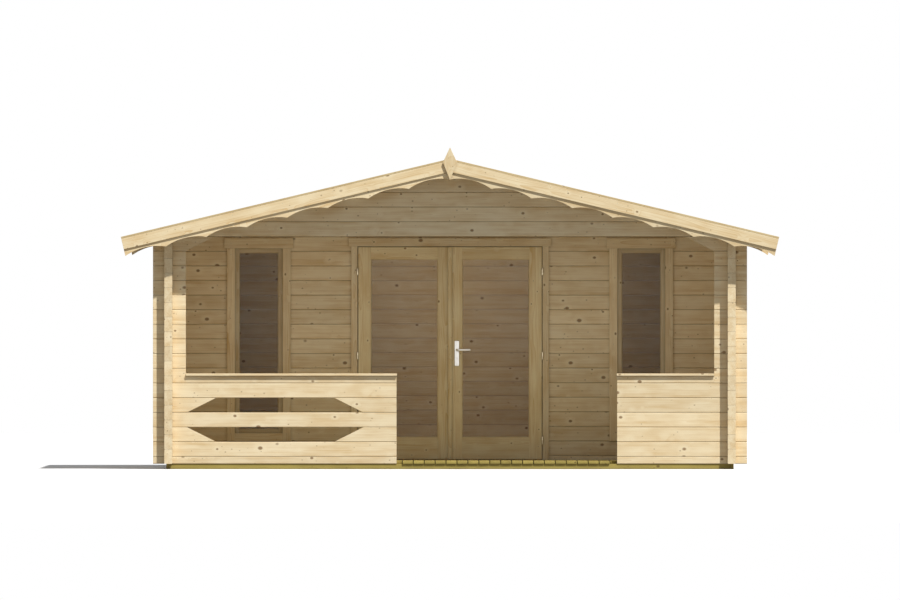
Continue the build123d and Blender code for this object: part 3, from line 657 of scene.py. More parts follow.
def carry(profile: np.ndarray, starts: np.ndarray, ends: np.ndarray, side: np.ndarray,
          up: np.ndarray) -> Shape:
    """Carries one closed profile along many straight runs.

    A point is start + (end - start) t + side a + up b, with t 0 or 1 and (a, b) a point of the profile.

    Args:
        profile: (n, 2) outline, anticlockwise seen against the run.
        starts: (k, 3) first ends of the runs.
        ends: (k, 3) last ends of the runs.
        side: unit vector of the profile's first axis.
        up: unit vector of the profile's second axis.

    Returns:
        Points (k, 2, n, 3) and faces.
    """
    offset = profile[:, :1] * side + profile[:, 1:] * up
    return copies(np.stack([starts, ends], axis=1)[:, :, None, :] + offset[None, None])


def lathe(profile: np.ndarray, centres: np.ndarray, axis: np.ndarray, sides: int) -> Shape:
    """Turns an open profile about an axis, once at each centre.

    A point is centre + axis h + r (cos w e1 + sin w e2), with (r, h) along the profile and w round the axis.

    Args:
        profile: (m, 2) radius and height.
        centres: (k, 3) origins.
        axis: unit vector.
        sides: steps round the axis.

    Returns:
        Points (k, m, sides, 3) and faces, closed at both ends.
    """
    first = np.cross(axis, [0.0, 0.0, 1.0] if abs(axis[2]) < UPRIGHT_LIMIT else [1.0, 0.0, 0.0])
    second = np.cross(axis, first)
    w = np.linspace(0, 2 * np.pi, sides, endpoint=False)
    around = np.cos(w)[:, None] * first + np.sin(w)[:, None] * second
    shape = profile[:, None, :1] * around[None] + profile[:, None, 1:] * axis
    return copies(centres[:, None, None, :] + shape[None])


def merged(*shapes: Shape) -> Shape:
    """Joins several shapes to one, with the faces renumbered.

    Args:
        *shapes: points and faces of each.

    Returns:
        All points and faces.
    """
    points = [shape[0].reshape(-1, 3) for shape in shapes]
    firsts = np.cumsum([0] + [len(group) for group in points[:-1]])
    faces = [group + first for shape, first in zip(shapes, firsts) for group in shape[1]]
    return np.concatenate(points), faces


def screw_heads(centres_mm: np.ndarray, axis: Place, radius_mm: float = 4.0) -> Shape:
    """Makes low domed screw heads set into a surface: a small lathe of five rings, dimpled in the middle.

    Args:
        centres_mm: (k, 3) places on the surface.
        axis: the way out of the surface.
        radius_mm: a head's radius.

    Returns:
        Points and faces.
    """
    rings = np.array([[1.0, -0.6], [1.0, 0.02], [0.86, 0.14], [0.42, 0.16], [0.3, -0.1]])
    return lathe(rings * radius_mm * MM, centres_mm * MM, np.array(axis), 8)


def grid_of(*axes_mm: Values) -> np.ndarray:
    """Gives every combination of x, y and z values, each a number or several, as (k, 3) places."""
    return np.stack(np.meshgrid(*axes_mm, indexing="ij"), axis=-1).reshape(-1, 3)


def board_rows(low: float, high: float, board_mm: float) -> tuple[np.ndarray, float]:
    """Fills a length with whole boards.

    Args:
        low: where the length starts, in metres.
        high: where it ends.
        board_mm: the width that the boards should about have.

    Returns:
        The middles of the boards, and the distance between them.
    """
    count = round((high - low) / (board_mm * MM))
    pitch = (high - low) / count
    return low + pitch * (np.arange(count) + 0.5), pitch


def corners_of(node: str) -> tuple[np.ndarray, np.ndarray]:
    """Gives the low and high corners of a CAD node's box as arrays."""
    low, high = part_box(node)
    return np.array(low), np.array(high)


def ride(made: bpy.types.Object, body: Body, slot: Slot, *nodes: str) -> None:
    """Puts a piece on its body, in place of CAD nodes if any, and logs it.

    Args:
        made: the piece.
        body: the body it rides.
        slot: its material slot; not used.
        *nodes: the CAD nodes it stands for.
    """
    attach(made, body.value)
    if nodes:
        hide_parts(*nodes)
    LOG.info("%s on %s", made.name, body.value)


def islands(mesh: bpy.types.Mesh) -> np.ndarray:
    """Numbers the separate solids of a mesh: each point takes the lowest number that it can reach over edges.

    Args:
        mesh: the mesh.

    Returns:
        (n,) the number of each point's solid.
    """
    edges = np.empty(len(mesh.edges) * 2, dtype=np.int64)
    mesh.edges.foreach_get("vertices", edges)
    a, b = edges.reshape(-1, 2).T
    label = np.arange(len(mesh.vertices))
    while True:
        low = np.minimum(label[a], label[b])
        new = label.copy()
        np.minimum.at(new, a, low)
        np.minimum.at(new, b, low)
        new = new[new]
        if np.array_equal(new, label):
            return np.unique(label, return_inverse=True)[1]
        label = new


# Timber


@dataclass
class EasedTimber:
    """Timber nodes shown as copies with eased edges, each solid with its own grain and tone."""

    nodes: tuple[str, ...]
    finish: WoodFinish
    slot: Slot
    body: Body = Body.CABIN
    ease_mm: float = 1.6
    run: Run = Run.LEVEL
    seed: int = 1
    # Painted shade in the grooves between logs: whether a piece gets it, and how near its top and bottom
    shades_joints: bool = False
    joint_shade_mm: float = 2.5

    def build(self, frame: dict) -> None:
        """Makes one eased copy for each node and puts it in the node's place.

        Args:
            frame: the loaded frame.
        """
        for step, node in enumerate(self.nodes):
            made = self.eased_copy(frame["nodes"][node], f"{node}_timber")
            self.lay_grain(made.data, np.random.default_rng(self.seed * 101 + step))
            ride(made, self.body, self.slot, node)

    def eased_copy(self, source: bpy.types.Object, name: str) -> bpy.types.Object:
        """Copies a node's mesh, merges its triangles to flat faces and rounds its sharp edges.

        Args:
            source: the CAD node.
            name: the copy's name.

        Returns:
            The new object.
        """
        work = bmesh.new()
        work.from_mesh(source.data)
        bmesh.ops.remove_doubles(work, verts=work.verts, dist=1e-6)
        bmesh.ops.dissolve_limit(work, angle_limit=FLAT_ANGLE, verts=work.verts, edges=work.edges)
        sharp = [e for e in work.edges if e.is_manifold and e.calc_face_angle() > EASED_ANGLE]
        bmesh.ops.bevel(work, geom=sharp, offset=self.ease_mm * MM, offset_type="OFFSET", segments=2,
                        profile=0.5, affect="EDGES", clamp_overlap=True)
        mesh = bpy.data.meshes.new(name)
        work.to_mesh(mesh)
        work.free()
        return link_mesh(name, mesh, self.finish.material())

    def lay_grain(self, mesh: bpy.types.Mesh, rng: np.random.Generator) -> None:
        """Gives each solid its own wood space, from its middle.

        The first axis is the allowed direction in which the solid is longest, the second is level or across,
        and the third is square to both.

        Args:
            mesh: the eased mesh.
            rng: seeded source of the tones.
        """
        points = np.empty(len(mesh.vertices) * 3)
        mesh.vertices.foreach_get("co", points)
        points = points.reshape(-1, 3)
        label = islands(mesh)
        count = label.max() + 1
        axes = self.run.axes()
        reach = points @ axes.T
        low = np.full((count, len(axes)), np.inf)
        high = -low
        np.minimum.at(low, label, reach)
        np.maximum.at(high, label, reach)
        along = axes[np.argmax(high - low, axis=1)]
        level = np.where(np.abs(along[:, 2:]) > UPRIGHT_LIMIT, [[1.0, 0.0, 0.0]], [[0.0, 0.0, 1.0]])
        across = np.cross(level, along)
        across /= np.linalg.norm(across, axis=1, keepdims=True)
        basis = np.stack([along, across, np.cross(along, across)], axis=1)
        box_low = np.full((count, 3), np.inf)
        box_high = -box_low
        np.minimum.at(box_low, label, points)
        np.maximum.at(box_high, label, points)
        middle = (box_low + box_high) / 2
        wood = np.einsum("nij,nj->ni", basis[label], points - middle[label])
        # Painted shade: points this near the top or bottom of a solid lie down in a groove between logs
        edge = np.minimum(points[:, 2] - box_low[label, 2], box_high[label, 2] - points[:, 2])
        joint_shade = np.where(self.shades_joints & (edge < self.joint_shade_mm * MM), 1.0, 0.0)
        set_wood(mesh, wood, rng.random(count)[label], joint_shade)


@dataclass
class Planking:
    """Boards side by side along the depth of the cabin, with V joints, in place of one flat sheet."""

    name: str
    node: str
    finish: WoodFinish
    bevel_mm: float
    seed: int
    gap_mm: float = 0.3

    def build(self, starts: np.ndarray, ends: np.ndarray, up: np.ndarray, pitch: float,
              thickness: float) -> None:
        """Carries a bevelled board section along every run.

        The section is a rectangle, the pitch less the gap by the thickness, with its corners cut off at 45
        degrees.

        Args:
            starts: (k, 3) first ends of the boards' middles, at half their thickness.
            ends: (k, 3) last ends.
            up: unit vector out of their upper face.
            pitch: distance from board to board in metres.
            thickness: a board's thickness in metres.
        """
        w, t, b = (pitch - self.gap_mm * MM) / 2, thickness / 2, self.bevel_mm * MM
        half = np.array([[-w, b - t], [b - w, -t], [w - b, -t], [w, b - t]])
        section = np.concatenate([half, -half])
        points, faces = carry(section, starts, ends, Y_AXIS, up)
        made = put_shape(self.name, (points, faces), self.finish.material())
        run = (ends - starts)[0]
        local = points - ((starts + ends) / 2)[:, None, None, :]
        wood = np.stack([local @ (run / np.linalg.norm(run)), local @ Y_AXIS, local @ up], axis=-1)
        tone = np.random.default_rng(self.seed).random(len(starts))
        # Painted shade down in the V grooves: the points of each board's bevelled edges
        joint_shade = np.broadcast_to(np.abs(section[:, 0]) > w - b / 2, points.shape[:3]).astype(float)
        set_wood(made.data, wood.reshape(-1, 3), np.repeat(tone, 2 * len(section)), joint_shade)
        ride(made, Body.CABIN, Slot.BOARD, self.node)


@dataclass
class LogShell:
    """The log walls, gables, rails, corners and purlins."""

    logs: tuple[str, ...] = (
        "rear_wall", "rear_gable", "front_wall_left_base", "front_wall_right_base", "front_wall_left_end",
        "front_wall_right_end", "front_wall_left_pier", "front_wall_right_pier", "front_gable",
        "veranda_gable", "left_rail", "right_rail", "left_corner_logs", "right_corner_logs", "left_wall",
        "right_wall")
    purlins: tuple[str, ...] = ("roof_purlins",)
    ease_mm: float = 1.2

    def build(self, frame: dict) -> None:
        """Shows every log with eased edges and its own grain.

        Args:
            frame: the loaded frame.
        """
        EasedTimber(self.logs, SPRUCE_LOG, Slot.LOG, ease_mm=self.ease_mm, seed=3, shades_joints=True).build(frame)
        EasedTimber(self.purlins, SPRUCE_LOG, Slot.LOG, ease_mm=self.ease_mm, seed=4).build(frame)


@dataclass
class Ground:
    """Bearers, joists, veranda boards, rail caps and the room's floor boards."""

    bearer_ease_mm: float = 2.0
    deck_ease_mm: float = 3.0
    cap_ease_mm: float = 2.0
    floor_board_mm: float = 95.0
    floor_bevel_mm: float = 1.5

    def build(self, frame: dict) -> None:
        """Dresses the ground frame and the caps, and lays the room floor.

        Args:
            frame: the loaded frame.
        """
        bearers, deck = ("ground_bearers", "floor_joists"), ("veranda_deck",)
        caps = ("left_rail_cap", "right_rail_cap")
        EasedTimber(bearers, TREATED_PINE, Slot.TREATED, ease_mm=self.bearer_ease_mm, seed=5).build(frame)
        EasedTimber(deck, TREATED_PINE, Slot.TREATED, ease_mm=self.deck_ease_mm, seed=6).build(frame)
        EasedTimber(caps, SPRUCE_BOARD, Slot.BOARD, ease_mm=self.cap_ease_mm, seed=7).build(frame)
        self.lay_floor()

    def lay_floor(self) -> None:
        """Lays boards from wall to wall across the room, in place of the flat sheet of the floor."""
        low, high = corners_of("room_floor")
        y, pitch = board_rows(low[1], high[1], self.floor_board_mm)
        z = np.full(len(y), (low[2] + high[2]) / 2)
        starts = np.stack([np.full(len(y), low[0]), y, z], axis=1)
        ends = np.stack([np.full(len(y), high[0]), y, z], axis=1)
        planks = Planking("room_floor_planks", "room_floor", SPRUCE_BOARD, self.floor_bevel_mm, 8)
        planks.build(starts, ends, Z_AXIS, pitch, high[2] - low[2])


@dataclass
class RoofTimber:
    """Roof boards down both slopes, fascias, bargeboards, scalloped trim, edge strips and finials."""

    board_mm: float = 96.0
    board_thickness_mm: float = 19.0
    bevel_mm: float = 3.0
    trim_ease_mm: float = 1.2
    trim: tuple[str, ...] = (
        "front_bargeboards", "rear_bargeboards", "front_scallop_trim", "rear_scallop_trim")
    strips: tuple[str, ...] = ("roof_edge_strips",)
    upright: tuple[str, ...] = ("front_finial", "rear_finial", "eave_fascias")

    def build(self, frame: dict) -> None:
        """Lays the roof boards and dresses the gable trim.

        Args:
            frame: the loaded frame.
        """
        for name, side in SIDES:
            self.lay_slope(f"{name}_roof_boards", side)
        EasedTimber(self.trim, SPRUCE_BOARD, Slot.BOARD, ease_mm=self.trim_ease_mm, run=Run.SLOPE,
                    seed=11).build(frame)
        EasedTimber(self.strips, SPRUCE_STRIP, Slot.BOARD, run=Run.SLOPE, seed=13).build(frame)
        EasedTimber(self.upright, SPRUCE_BOARD, Slot.BOARD, seed=12).build(frame)

    def lay_slope(self, node: str, side: int) -> None:
        """Lays boards side by side along the ridge, each running from the ridge down to the eave.

        Args:
            node: the flat sheet they stand for.
            side: -1 for the left slope, 1 for the right.
        """
        low, high = corners_of(node)
        c, s = np.cos(ROOF_PITCH), np.sin(ROOF_PITCH)
        down, up = np.array([side * c, 0.0, -s]), np.array([side * s, 0.0, c])
        thickness = self.board_thickness_mm * MM
        y, pitch = board_rows(low[1], high[1], self.board_mm)
        reach = max(abs(low[0]), abs(high[0])) / c
        ridge = np.stack([np.zeros(len(y)), y, np.full(len(y), high[2])], axis=1) - up * thickness / 2
        starts = ridge + down * (thickness / 2 * np.tan(ROOF_PITCH))
        planks = Planking(f"{node}_planks", node, SPRUCE_ROOF, self.bevel_mm, 20 + side)
        planks.build(starts, ridge + down * reach, up, pitch, thickness)


# Windows and doors


@dataclass
class Glazing:
    """A pane with mitred quarter-round beads that hold it, outside and inside."""

    finish: WoodFinish
    bead_mm: float = 6.8
    stand_mm: float = 9.0
    steps: int = 5
    tone: float = 0.4

    def build(self, frame: dict, place: str, body: Body) -> None:
        """Dresses one pane and runs its beads.

        Args:
            frame: the loaded frame.
            place: the opening, such as left_window.
            body: the body that the pane rides.
        """
        pane = frame["nodes"][f"{place}_glass"]
        pane.data.materials.clear()
        pane.data.materials.append(GLASS.material())
        LOG.info("%s on %s", pane.name, body.value)
        self.beads(f"{place}_beads", f"{place}_glass", body)

    def beads(self, name: str, glass: str, body: Body) -> None:
        """Runs a quarter-round section round a pane's edge on both faces, mitred at the corners.

        A point is the corner moved inwards by a on both edges, and out of the glass by b, where (a, b) goes
        round a quarter ellipse from the frame to the glass.

        Args:
            name: the piece's name.
            glass: the pane's node.
            body: the body that the pane rides.
        """
        low, high = corners_of(glass)
        w = np.linspace(0, np.pi / 2, self.steps)
        a = np.concatenate([[0.0], np.sin(w) * self.bead_mm * MM])
        b = np.concatenate([[0.0], np.cos(w) * self.stand_mm * MM])
        signs = np.array([[1, 1], [-1, 1], [-1, -1], [1, -1]])
        corner = np.array([[low[0], low[2]], [high[0], low[2]], [high[0], high[2]], [low[0], high[2]]])
        flat = corner[:, None, :] + signs[:, None, :] * a[None, :, None]
        faces = tube_faces(4, len(a), closed=True)
        rounds = []
        for face, outward in ((low[1], -1), (high[1], 1)):
            depth = np.broadcast_to(face + outward * b, (4, len(a)))
            rounds.append((np.stack([flat[..., 0], depth, flat[..., 1]], axis=-1), faces))
        points, faces = merged(*rounds)
        made = put_shape(name, (points, faces), self.finish.material())
        local = points - (low + high) / 2
        upright = np.abs(local[:, 0]) * (high[2] - low[2]) > np.abs(local[:, 2]) * (high[0] - low[0])
        wood = np.where(upright[:, None], local[:, [2, 0, 1]], local[:, [0, 2, 1]])
        set_wood(made.data, wood, np.full(len(points), self.tone), np.zeros(len(points)))
        ride(made, body, Slot.JOINERY)


@dataclass
class Windows:
    """Two tall fixed windows."""

    sash_ease_mm: float = 2.0

    def build(self, frame: dict) -> None:
        """Dresses frames, casings, sashes and panes, and adds the beads.

        Args:
            frame: the loaded frame.
        """
        for step, (side, _) in enumerate(SIDES):
            boards, sash = (f"{side}_window_frame", f"{side}_window_casing"), (f"{side}_window_sash",)
            EasedTimber(boards, SPRUCE_BOARD, Slot.BOARD, seed=30 + step).build(frame)
            # Sashes and their beads take painted shade: a darker finish than the casings round them
            EasedTimber(sash, SHADED_SPRUCE_SASH, Slot.JOINERY, ease_mm=self.sash_ease_mm,
                        seed=34 + step).build(frame)
            Glazing(SHADED_SPRUCE_SASH).build(frame, f"{side}_window", Body.CABIN)


@dataclass
class Doors:
    """The double door: frame, casing, two glazed leaves, cover strip, hinges, plates and levers."""

    leaf_ease_mm: float = 2.2
    strip_ease_mm: float = 1.2

    def build(self, frame: dict) -> None:
        """Dresses the joinery, then makes the hinges and the handle set.

        Args:
            frame: the loaded frame.
        """
        surround, strip = ("door_frame", "door_stops", "door_casing"), ("door_astragal",)
        EasedTimber(surround, SPRUCE_BOARD, Slot.BOARD, seed=40).build(frame)
        for step, body in enumerate((Body.LEFT_DOOR, Body.RIGHT_DOOR)):
            leaf = (f"{body.value}_leaf",)
            EasedTimber(leaf, SPRUCE_JOINERY, Slot.JOINERY, body, self.leaf_ease_mm,
                        seed=41 + step).build(frame)
            Glazing(SPRUCE_JOINERY).build(frame, body.value, body)
        EasedTimber(strip, SPRUCE_JOINERY, Slot.JOINERY, Body.RIGHT_DOOR, self.strip_ease_mm,
                    seed=44).build(frame)
        Hinges().build()
        HandleSet().build()


# Fittings


@dataclass
class Hinges:
    """Turned hinge barrels in two halves, each with a round stud into the leaf or the frame."""

    heights_mm: tuple[float, ...] = (241.0, 988.0, 1731.0)
    pin_x_mm: float = 813.75
    pin_y_mm: float = -1028.8
    radius_mm: float = 7.0
    half_mm: float = 35.0
    split_mm: float = 0.15
    lip_mm: float = 0.8
    stud_radius_mm: float = 3.0
    stud_mm: float = 34.0
    sides: int = 20
    stud_sides: int = 10

    def build(self) -> None:
        """Makes the halves of each leaf and those of the frame."""
        for (name, side), body in zip(SIDES, (Body.LEFT_DOOR, Body.RIGHT_DOOR)):
            moving = self.halves(side, 1)
            made = put_shape(f"{name}_hinge_barrels", moving, ZINC_STEEL.material(), smooth=True)
            ride(made, body, Slot.STEEL, f"{name}_door_hinges")
        fixed = merged(self.halves(-1, -1), self.halves(1, -1))
        made = put_shape("frame_hinge_barrels", fixed, ZINC_STEEL.material(), smooth=True)
        ride(made, Body.CABIN, Slot.STEEL, "frame_hinges")

    def halves(self, side: int, up: int) -> Shape:
        """Makes three barrel halves with a domed end, by lathe, and their studs, a circle along a run.

        Args:
            side: -1 for the left leaf, 1 for the right.
            up: 1 for the upper halves on the leaf, -1 for the lower ones on the frame.

        Returns:
            Points and faces.
        """
        r, end, start = self.radius_mm * MM, self.half_mm * MM, self.split_mm * MM
        profile = np.array([[r * 0.88, start], [r, start + self.lip_mm * MM], [r, end * 0.86],
                            [r * 0.93, end * 0.91], [r * 0.72, end * 0.97], [r * 0.4, end]])
        centres = grid_of(side * self.pin_x_mm, self.pin_y_mm, self.heights_mm) * MM
        barrels = lathe(profile, centres, up * Z_AXIS, self.sides)
        w = np.linspace(0, 2 * np.pi, self.stud_sides, endpoint=False)
        section = np.stack([np.cos(w), np.sin(w)], axis=1) * self.stud_radius_mm * MM
        way = np.array([-side * up, 1.0, 0.0]) / np.sqrt(2)
        first = centres + up * Z_AXIS * end / 2
        last = first + way * self.stud_mm * MM
        studs = carry(section, first, last, np.array([-way[1], way[0], 0.0]), Z_AXIS)
        return merged(barrels, studs)


@dataclass
class HandleSet:
    """Long plates with a key cylinder, and a bent lever, outside and inside."""

    pivot_x_mm: float = 60.5
    pivot_z_mm: float = 1040.0
    plate_half_mm: tuple[float, float] = (20.5, 111.5)
    plate_drop_mm: float = 30.5
    plate_mm: float = 8.0
    corner_mm: float = 7.0
    cylinder_drop_mm: float = 72.0
    screw_inset_mm: float = 12.0
    screw_radius_mm: float = 3.4
    neck_mm: float = 9.0
    root_mm: float = 3.0
    grip_half_mm: tuple[float, float] = (9.5, 6.0)
    grip_end_mm: float = 181.5
    bend_mm: float = 15.0
    faces_y_mm: tuple[float, float] = (-1020.6, -975.0)
    grips_y_mm: tuple[float, float] = (-1076.3, -919.3)

    def build(self) -> None:
        """Makes the plates on the right leaf and the levers on their own body."""
        plates, levers = [], []
        for face, grip, out in zip(self.faces_y_mm, self.grips_y_mm, (-1, 1)):
            plates += [self.plate(face, out), self.cylinder(face, out), self.plate_screws(face, out)]
            levers.append(self.lever(face, grip, out))
        made = put_shape("lock_plates", merged(*plates), SATIN_STEEL.material(), smooth=True)
        ride(made, Body.RIGHT_DOOR, Slot.STEEL, "door_handle_plates")
        made = put_shape("bent_levers", merged(*levers), SATIN_STEEL.material(), smooth=True)
        ride(made, Body.HANDLE, Slot.STEEL, "door_handle")

    def plate(self, face: float, out: int) -> Shape:
        """Makes a long plate: its outline with round corners is carried outwards and drawn in at the front.

        A point is a corner's centre + (corner radius - draw) (cos w, sin w), and stands out by the depth of
        the draw.

        Args:
            face: the leaf's face behind it, in millimetres.
            out: -1 outside, 1 inside.

        Returns:
            Points and faces.
        """
        draws = np.array([[0.0, 0.0], [0.0, 5.4], [0.7, 6.9], [1.9, 7.7], [3.4, self.plate_mm]])
        steps = 7
        w = (np.arange(4)[:, None] * np.pi / 2 + np.linspace(0, np.pi / 2, steps)).ravel()
        turn = np.stack([np.cos(w), np.sin(w)], axis=1)
        signs = np.repeat(np.array([[1, 1], [-1, 1], [-1, -1], [1, -1]]), steps, axis=0)
        inner = np.array(self.plate_half_mm) - self.corner_mm
        flat = signs * inner + turn * (self.corner_mm - draws[:, None, :1])
        x = self.pivot_x_mm + flat[..., 0]
        y = np.broadcast_to(face + out * draws[:, 1:], x.shape)
        z = self.pivot_z_mm - self.plate_drop_mm + flat[..., 1]
        return np.stack([x, y, z], axis=-1) * MM, tube_faces(len(draws), len(w))

    def cylinder(self, face: float, out: int) -> Shape:
        """Makes the round face of the key cylinder, a lathe with a sunk middle.

        Args:
            face: the leaf's face, in millimetres.
            out: -1 outside, 1 inside.

        Returns:
            Points and faces.
        """
        profile = np.array([[8.5, -1.0], [8.5, 1.4], [7.6, 2.0], [3.4, 2.0], [3.0, 1.0]]) * MM
        height = self.pivot_z_mm - self.cylinder_drop_mm
        centre = np.array([[self.pivot_x_mm, face + out * self.plate_mm, height]]) * MM
        return lathe(profile, centre, out * Y_AXIS, 24)

    def plate_screws(self, face: float, out: int) -> Shape:
        """Makes two screw heads near the ends of a plate.

        Args:
            face: the leaf's face, in millimetres.
            out: -1 outside, 1 inside.

        Returns:
            Points and faces.
        """
        middle = self.pivot_z_mm - self.plate_drop_mm
        reach = self.plate_half_mm[1] - self.screw_inset_mm
        places = grid_of(self.pivot_x_mm, face + out * self.plate_mm, (middle - reach, middle + reach))
        return screw_heads(places, (0.0, float(out), 0.0), self.screw_radius_mm)

    def lever(self, face: float, grip: float, out: int) -> Shape:
        """Makes a lever: an oval section goes out of the plate, round a bend and along the grip to its end.

        A point is path + up a cos v + side b sin v; a and b go from the round neck to the flat grip, and
        shrink as a quarter ellipse at the end.

        Args:
            face: the leaf's face, in millimetres.
            grip: depth of the grip's middle, in millimetres.
            out: -1 outside, 1 inside.

        Returns:
            Points and faces.
        """
        root = face + out * (self.plate_mm - self.root_mm)
        start = grip - out * self.bend_mm
        neck_y = np.linspace(root, start, 4)[:-1]
        neck = np.stack([np.full(len(neck_y), self.pivot_x_mm), neck_y], axis=1)
        w = np.linspace(0, np.pi / 2, 9)
        bend_x = self.pivot_x_mm + self.bend_mm * (1 - np.cos(w))
        bend = np.stack([bend_x, start + out * self.bend_mm * np.sin(w)], axis=1)
        cap = np.linspace(0, np.pi / 2 * 0.93, 6)
        tip = self.grip_end_mm - self.grip_half_mm[0] * (1 - np.sin(cap))
        along = np.concatenate([np.linspace(bend_x[-1], tip[0], 6)[1:-1], tip])
        path = np.concatenate([neck, bend, np.stack([along, np.full(len(along), grip)], axis=1)])
        tangent = np.gradient(path, axis=0)
        tangent /= np.linalg.norm(tangent, axis=1, keepdims=True)
        flatness = np.clip((np.arange(len(path)) - len(neck)) / len(bend), 0, 1)
        shrink = np.concatenate([np.ones(len(path) - len(cap)), np.cos(cap)])
        a = (self.neck_mm + (self.grip_half_mm[0] - self.neck_mm) * flatness) * shrink
        b = (self.neck_mm + (self.grip_half_mm[1] - self.neck_mm) * flatness) * shrink
        v = np.linspace(0, 2 * np.pi, 20, endpoint=False)
        side = b[:, None] * np.sin(v)
        x = path[:, :1] - tangent[:, 1:] * side
        y = path[:, 1:] + tangent[:, :1] * side
        z = self.pivot_z_mm + a[:, None] * np.cos(v)
        return np.stack([x, y, z], axis=-1) * MM, tube_faces(len(path), len(v))


@dataclass
class Fixings:
    """Screw heads in the bargeboards, casings, rail caps and veranda boards."""

    ridge_top_mm: float = 2697.2
    barge_face_mm: float = 2808.1
    barge_run_mm: tuple[float, float, int] = (160.0, 2860.0, 7)
    barge_rows_mm: tuple[float, float] = (24.0, 72.0)
    casing_face_mm: float = -1020.3
    casing_radius_mm: float = 3.5
    window_sides_mm: tuple[float, ...] = (-1929.0, -1439.0, 1439.0, 1929.0)
    window_heads_mm: tuple[float, ...] = (-1929.0, -1684.0, -1439.0, 1439.0, 1684.0, 1929.0)
    window_rows_mm: tuple[float, float, int] = (300.0, 1880.0, 5)
    window_head_z_mm: float = 1979.0
    door_sides_mm: tuple[float, ...] = (-842.5, 842.5)
    door_heads_mm: tuple[float, float, int] = (-840.0, 840.0, 5)
    door_rows_mm: tuple[float, float, int] = (150.0, 1890.0, 5)
    door_head_z_mm: float = 1988.0
    cap_top_mm: float = 835.75
    cap_y_mm: float = -2465.0
    cap_runs_mm: tuple[tuple[float, float, int], ...] = ((-2210.0, -540.0, 5), (1540.0, 2210.0, 3))
    deck_top_mm: float = 70.0
    deck_half_mm: float = 2380.0
    joists_y_mm: tuple[float, ...] = (-2397.2, -1939.1, -1480.9, -1022.8)
    board_pitch_mm: float = 95.7
    middle_gap_x_mm: float = -35.0
    board_screw_mm: float = 24.0
    boards_a_side: int = 25

    def build(self) -> None:
        """Makes one piece of heads for each group of boards."""
        groups = {
            "bargeboard_screws": merged(self.barge(-1), self.barge(1)),
            "casing_screws": self.casings(),
            "rail_cap_screws": self.caps(),
            "veranda_board_screws": self.deck(),
        }
        for name, shape in groups.items():
            ride(put_shape(name, shape, ZINC_STEEL.material()), Body.CABIN, Slot.STEEL)

    def barge(self, out: int) -> Shape:
        """Puts pairs of heads down both bargeboards of a gable.

        Args:
            out: -1 at the front, 1 at the rear.

        Returns:
            Points and faces.
        """
        side, along, down = grid_of((-1.0, 1.0), np.linspace(*self.barge_run_mm), self.barge_rows_mm).T
        x = side * (along * np.cos(ROOF_PITCH) - down * np.sin(ROOF_PITCH))
        z = self.ridge_top_mm - along * np.sin(ROOF_PITCH) - down * np.cos(ROOF_PITCH)
        places = np.stack([x, np.full(len(x), out * self.barge_face_mm), z], axis=1)
        return screw_heads(places, (0.0, float(out), 0.0))

    def casings(self) -> Shape:
        """Puts heads up the side casings and along the head casings of the windows and the door.

        Returns:
            Points and faces.
        """
        face = self.casing_face_mm
        places = np.concatenate([
            grid_of(self.window_sides_mm, face, np.linspace(*self.window_rows_mm)),
            grid_of(self.door_sides_mm, face, np.linspace(*self.door_rows_mm)),
            grid_of(self.window_heads_mm, face, self.window_head_z_mm),
            grid_of(np.linspace(*self.door_heads_mm), face, self.door_head_z_mm)])
        return screw_heads(places, (0.0, -1.0, 0.0), self.casing_radius_mm)

    def caps(self) -> Shape:
        """Puts heads along the middle of both rail caps."""
        runs = [grid_of(np.linspace(*run), self.cap_y_mm, self.cap_top_mm) for run in self.cap_runs_mm]
        return screw_heads(np.concatenate(runs), (0.0, 0.0, 1.0))

    def deck(self) -> Shape:
        """Puts two heads a board over every joist of the veranda.

        Returns:
            Points and faces.
        """
        steps = np.arange(-self.boards_a_side, self.boards_a_side) + 0.5
        middles = self.middle_gap_x_mm + self.board_pitch_mm * steps
        middles = middles[np.abs(middles) < self.deck_half_mm]
        across = (middles[:, None] + np.array([-self.board_screw_mm, self.board_screw_mm])).ravel()
        return screw_heads(grid_of(across, self.joists_y_mm, self.deck_top_mm), (0.0, 0.0, 1.0))


# Studio


@dataclass(frozen=True)
class FillLamp:
    """A soft, unseen lamp that faces the rear and slightly down."""

    name: str
    watts: float
    size: tuple[float, float]
    place: Place
    colour: str
    glints: bool
    spread_deg: float = 120.0
    way: Place = (0.0, 1.0, -0.2)

    def build(self) -> None:
        """Hangs the lamp. The camera doesn't show it, and mirrors do only if it glints."""
        lamp = bpy.data.lights.new(self.name, "AREA")
        lamp.color = hex_to_linear(self.colour)[:3]
        lamp.energy = self.watts
        lamp.shape = "RECTANGLE"
        lamp.size, lamp.size_y = self.size
        lamp.spread = float(np.radians(self.spread_deg))
        made = bpy.data.objects.new(self.name, lamp)
        made.location = self.place
        made.rotation_mode = "QUATERNION"
        made.rotation_quaternion = Vector(self.way).to_track_quat("-Z", "Y")
        made.visible_camera = False
        made.visible_glossy = self.glints
        bpy.context.scene.collection.objects.link(made)


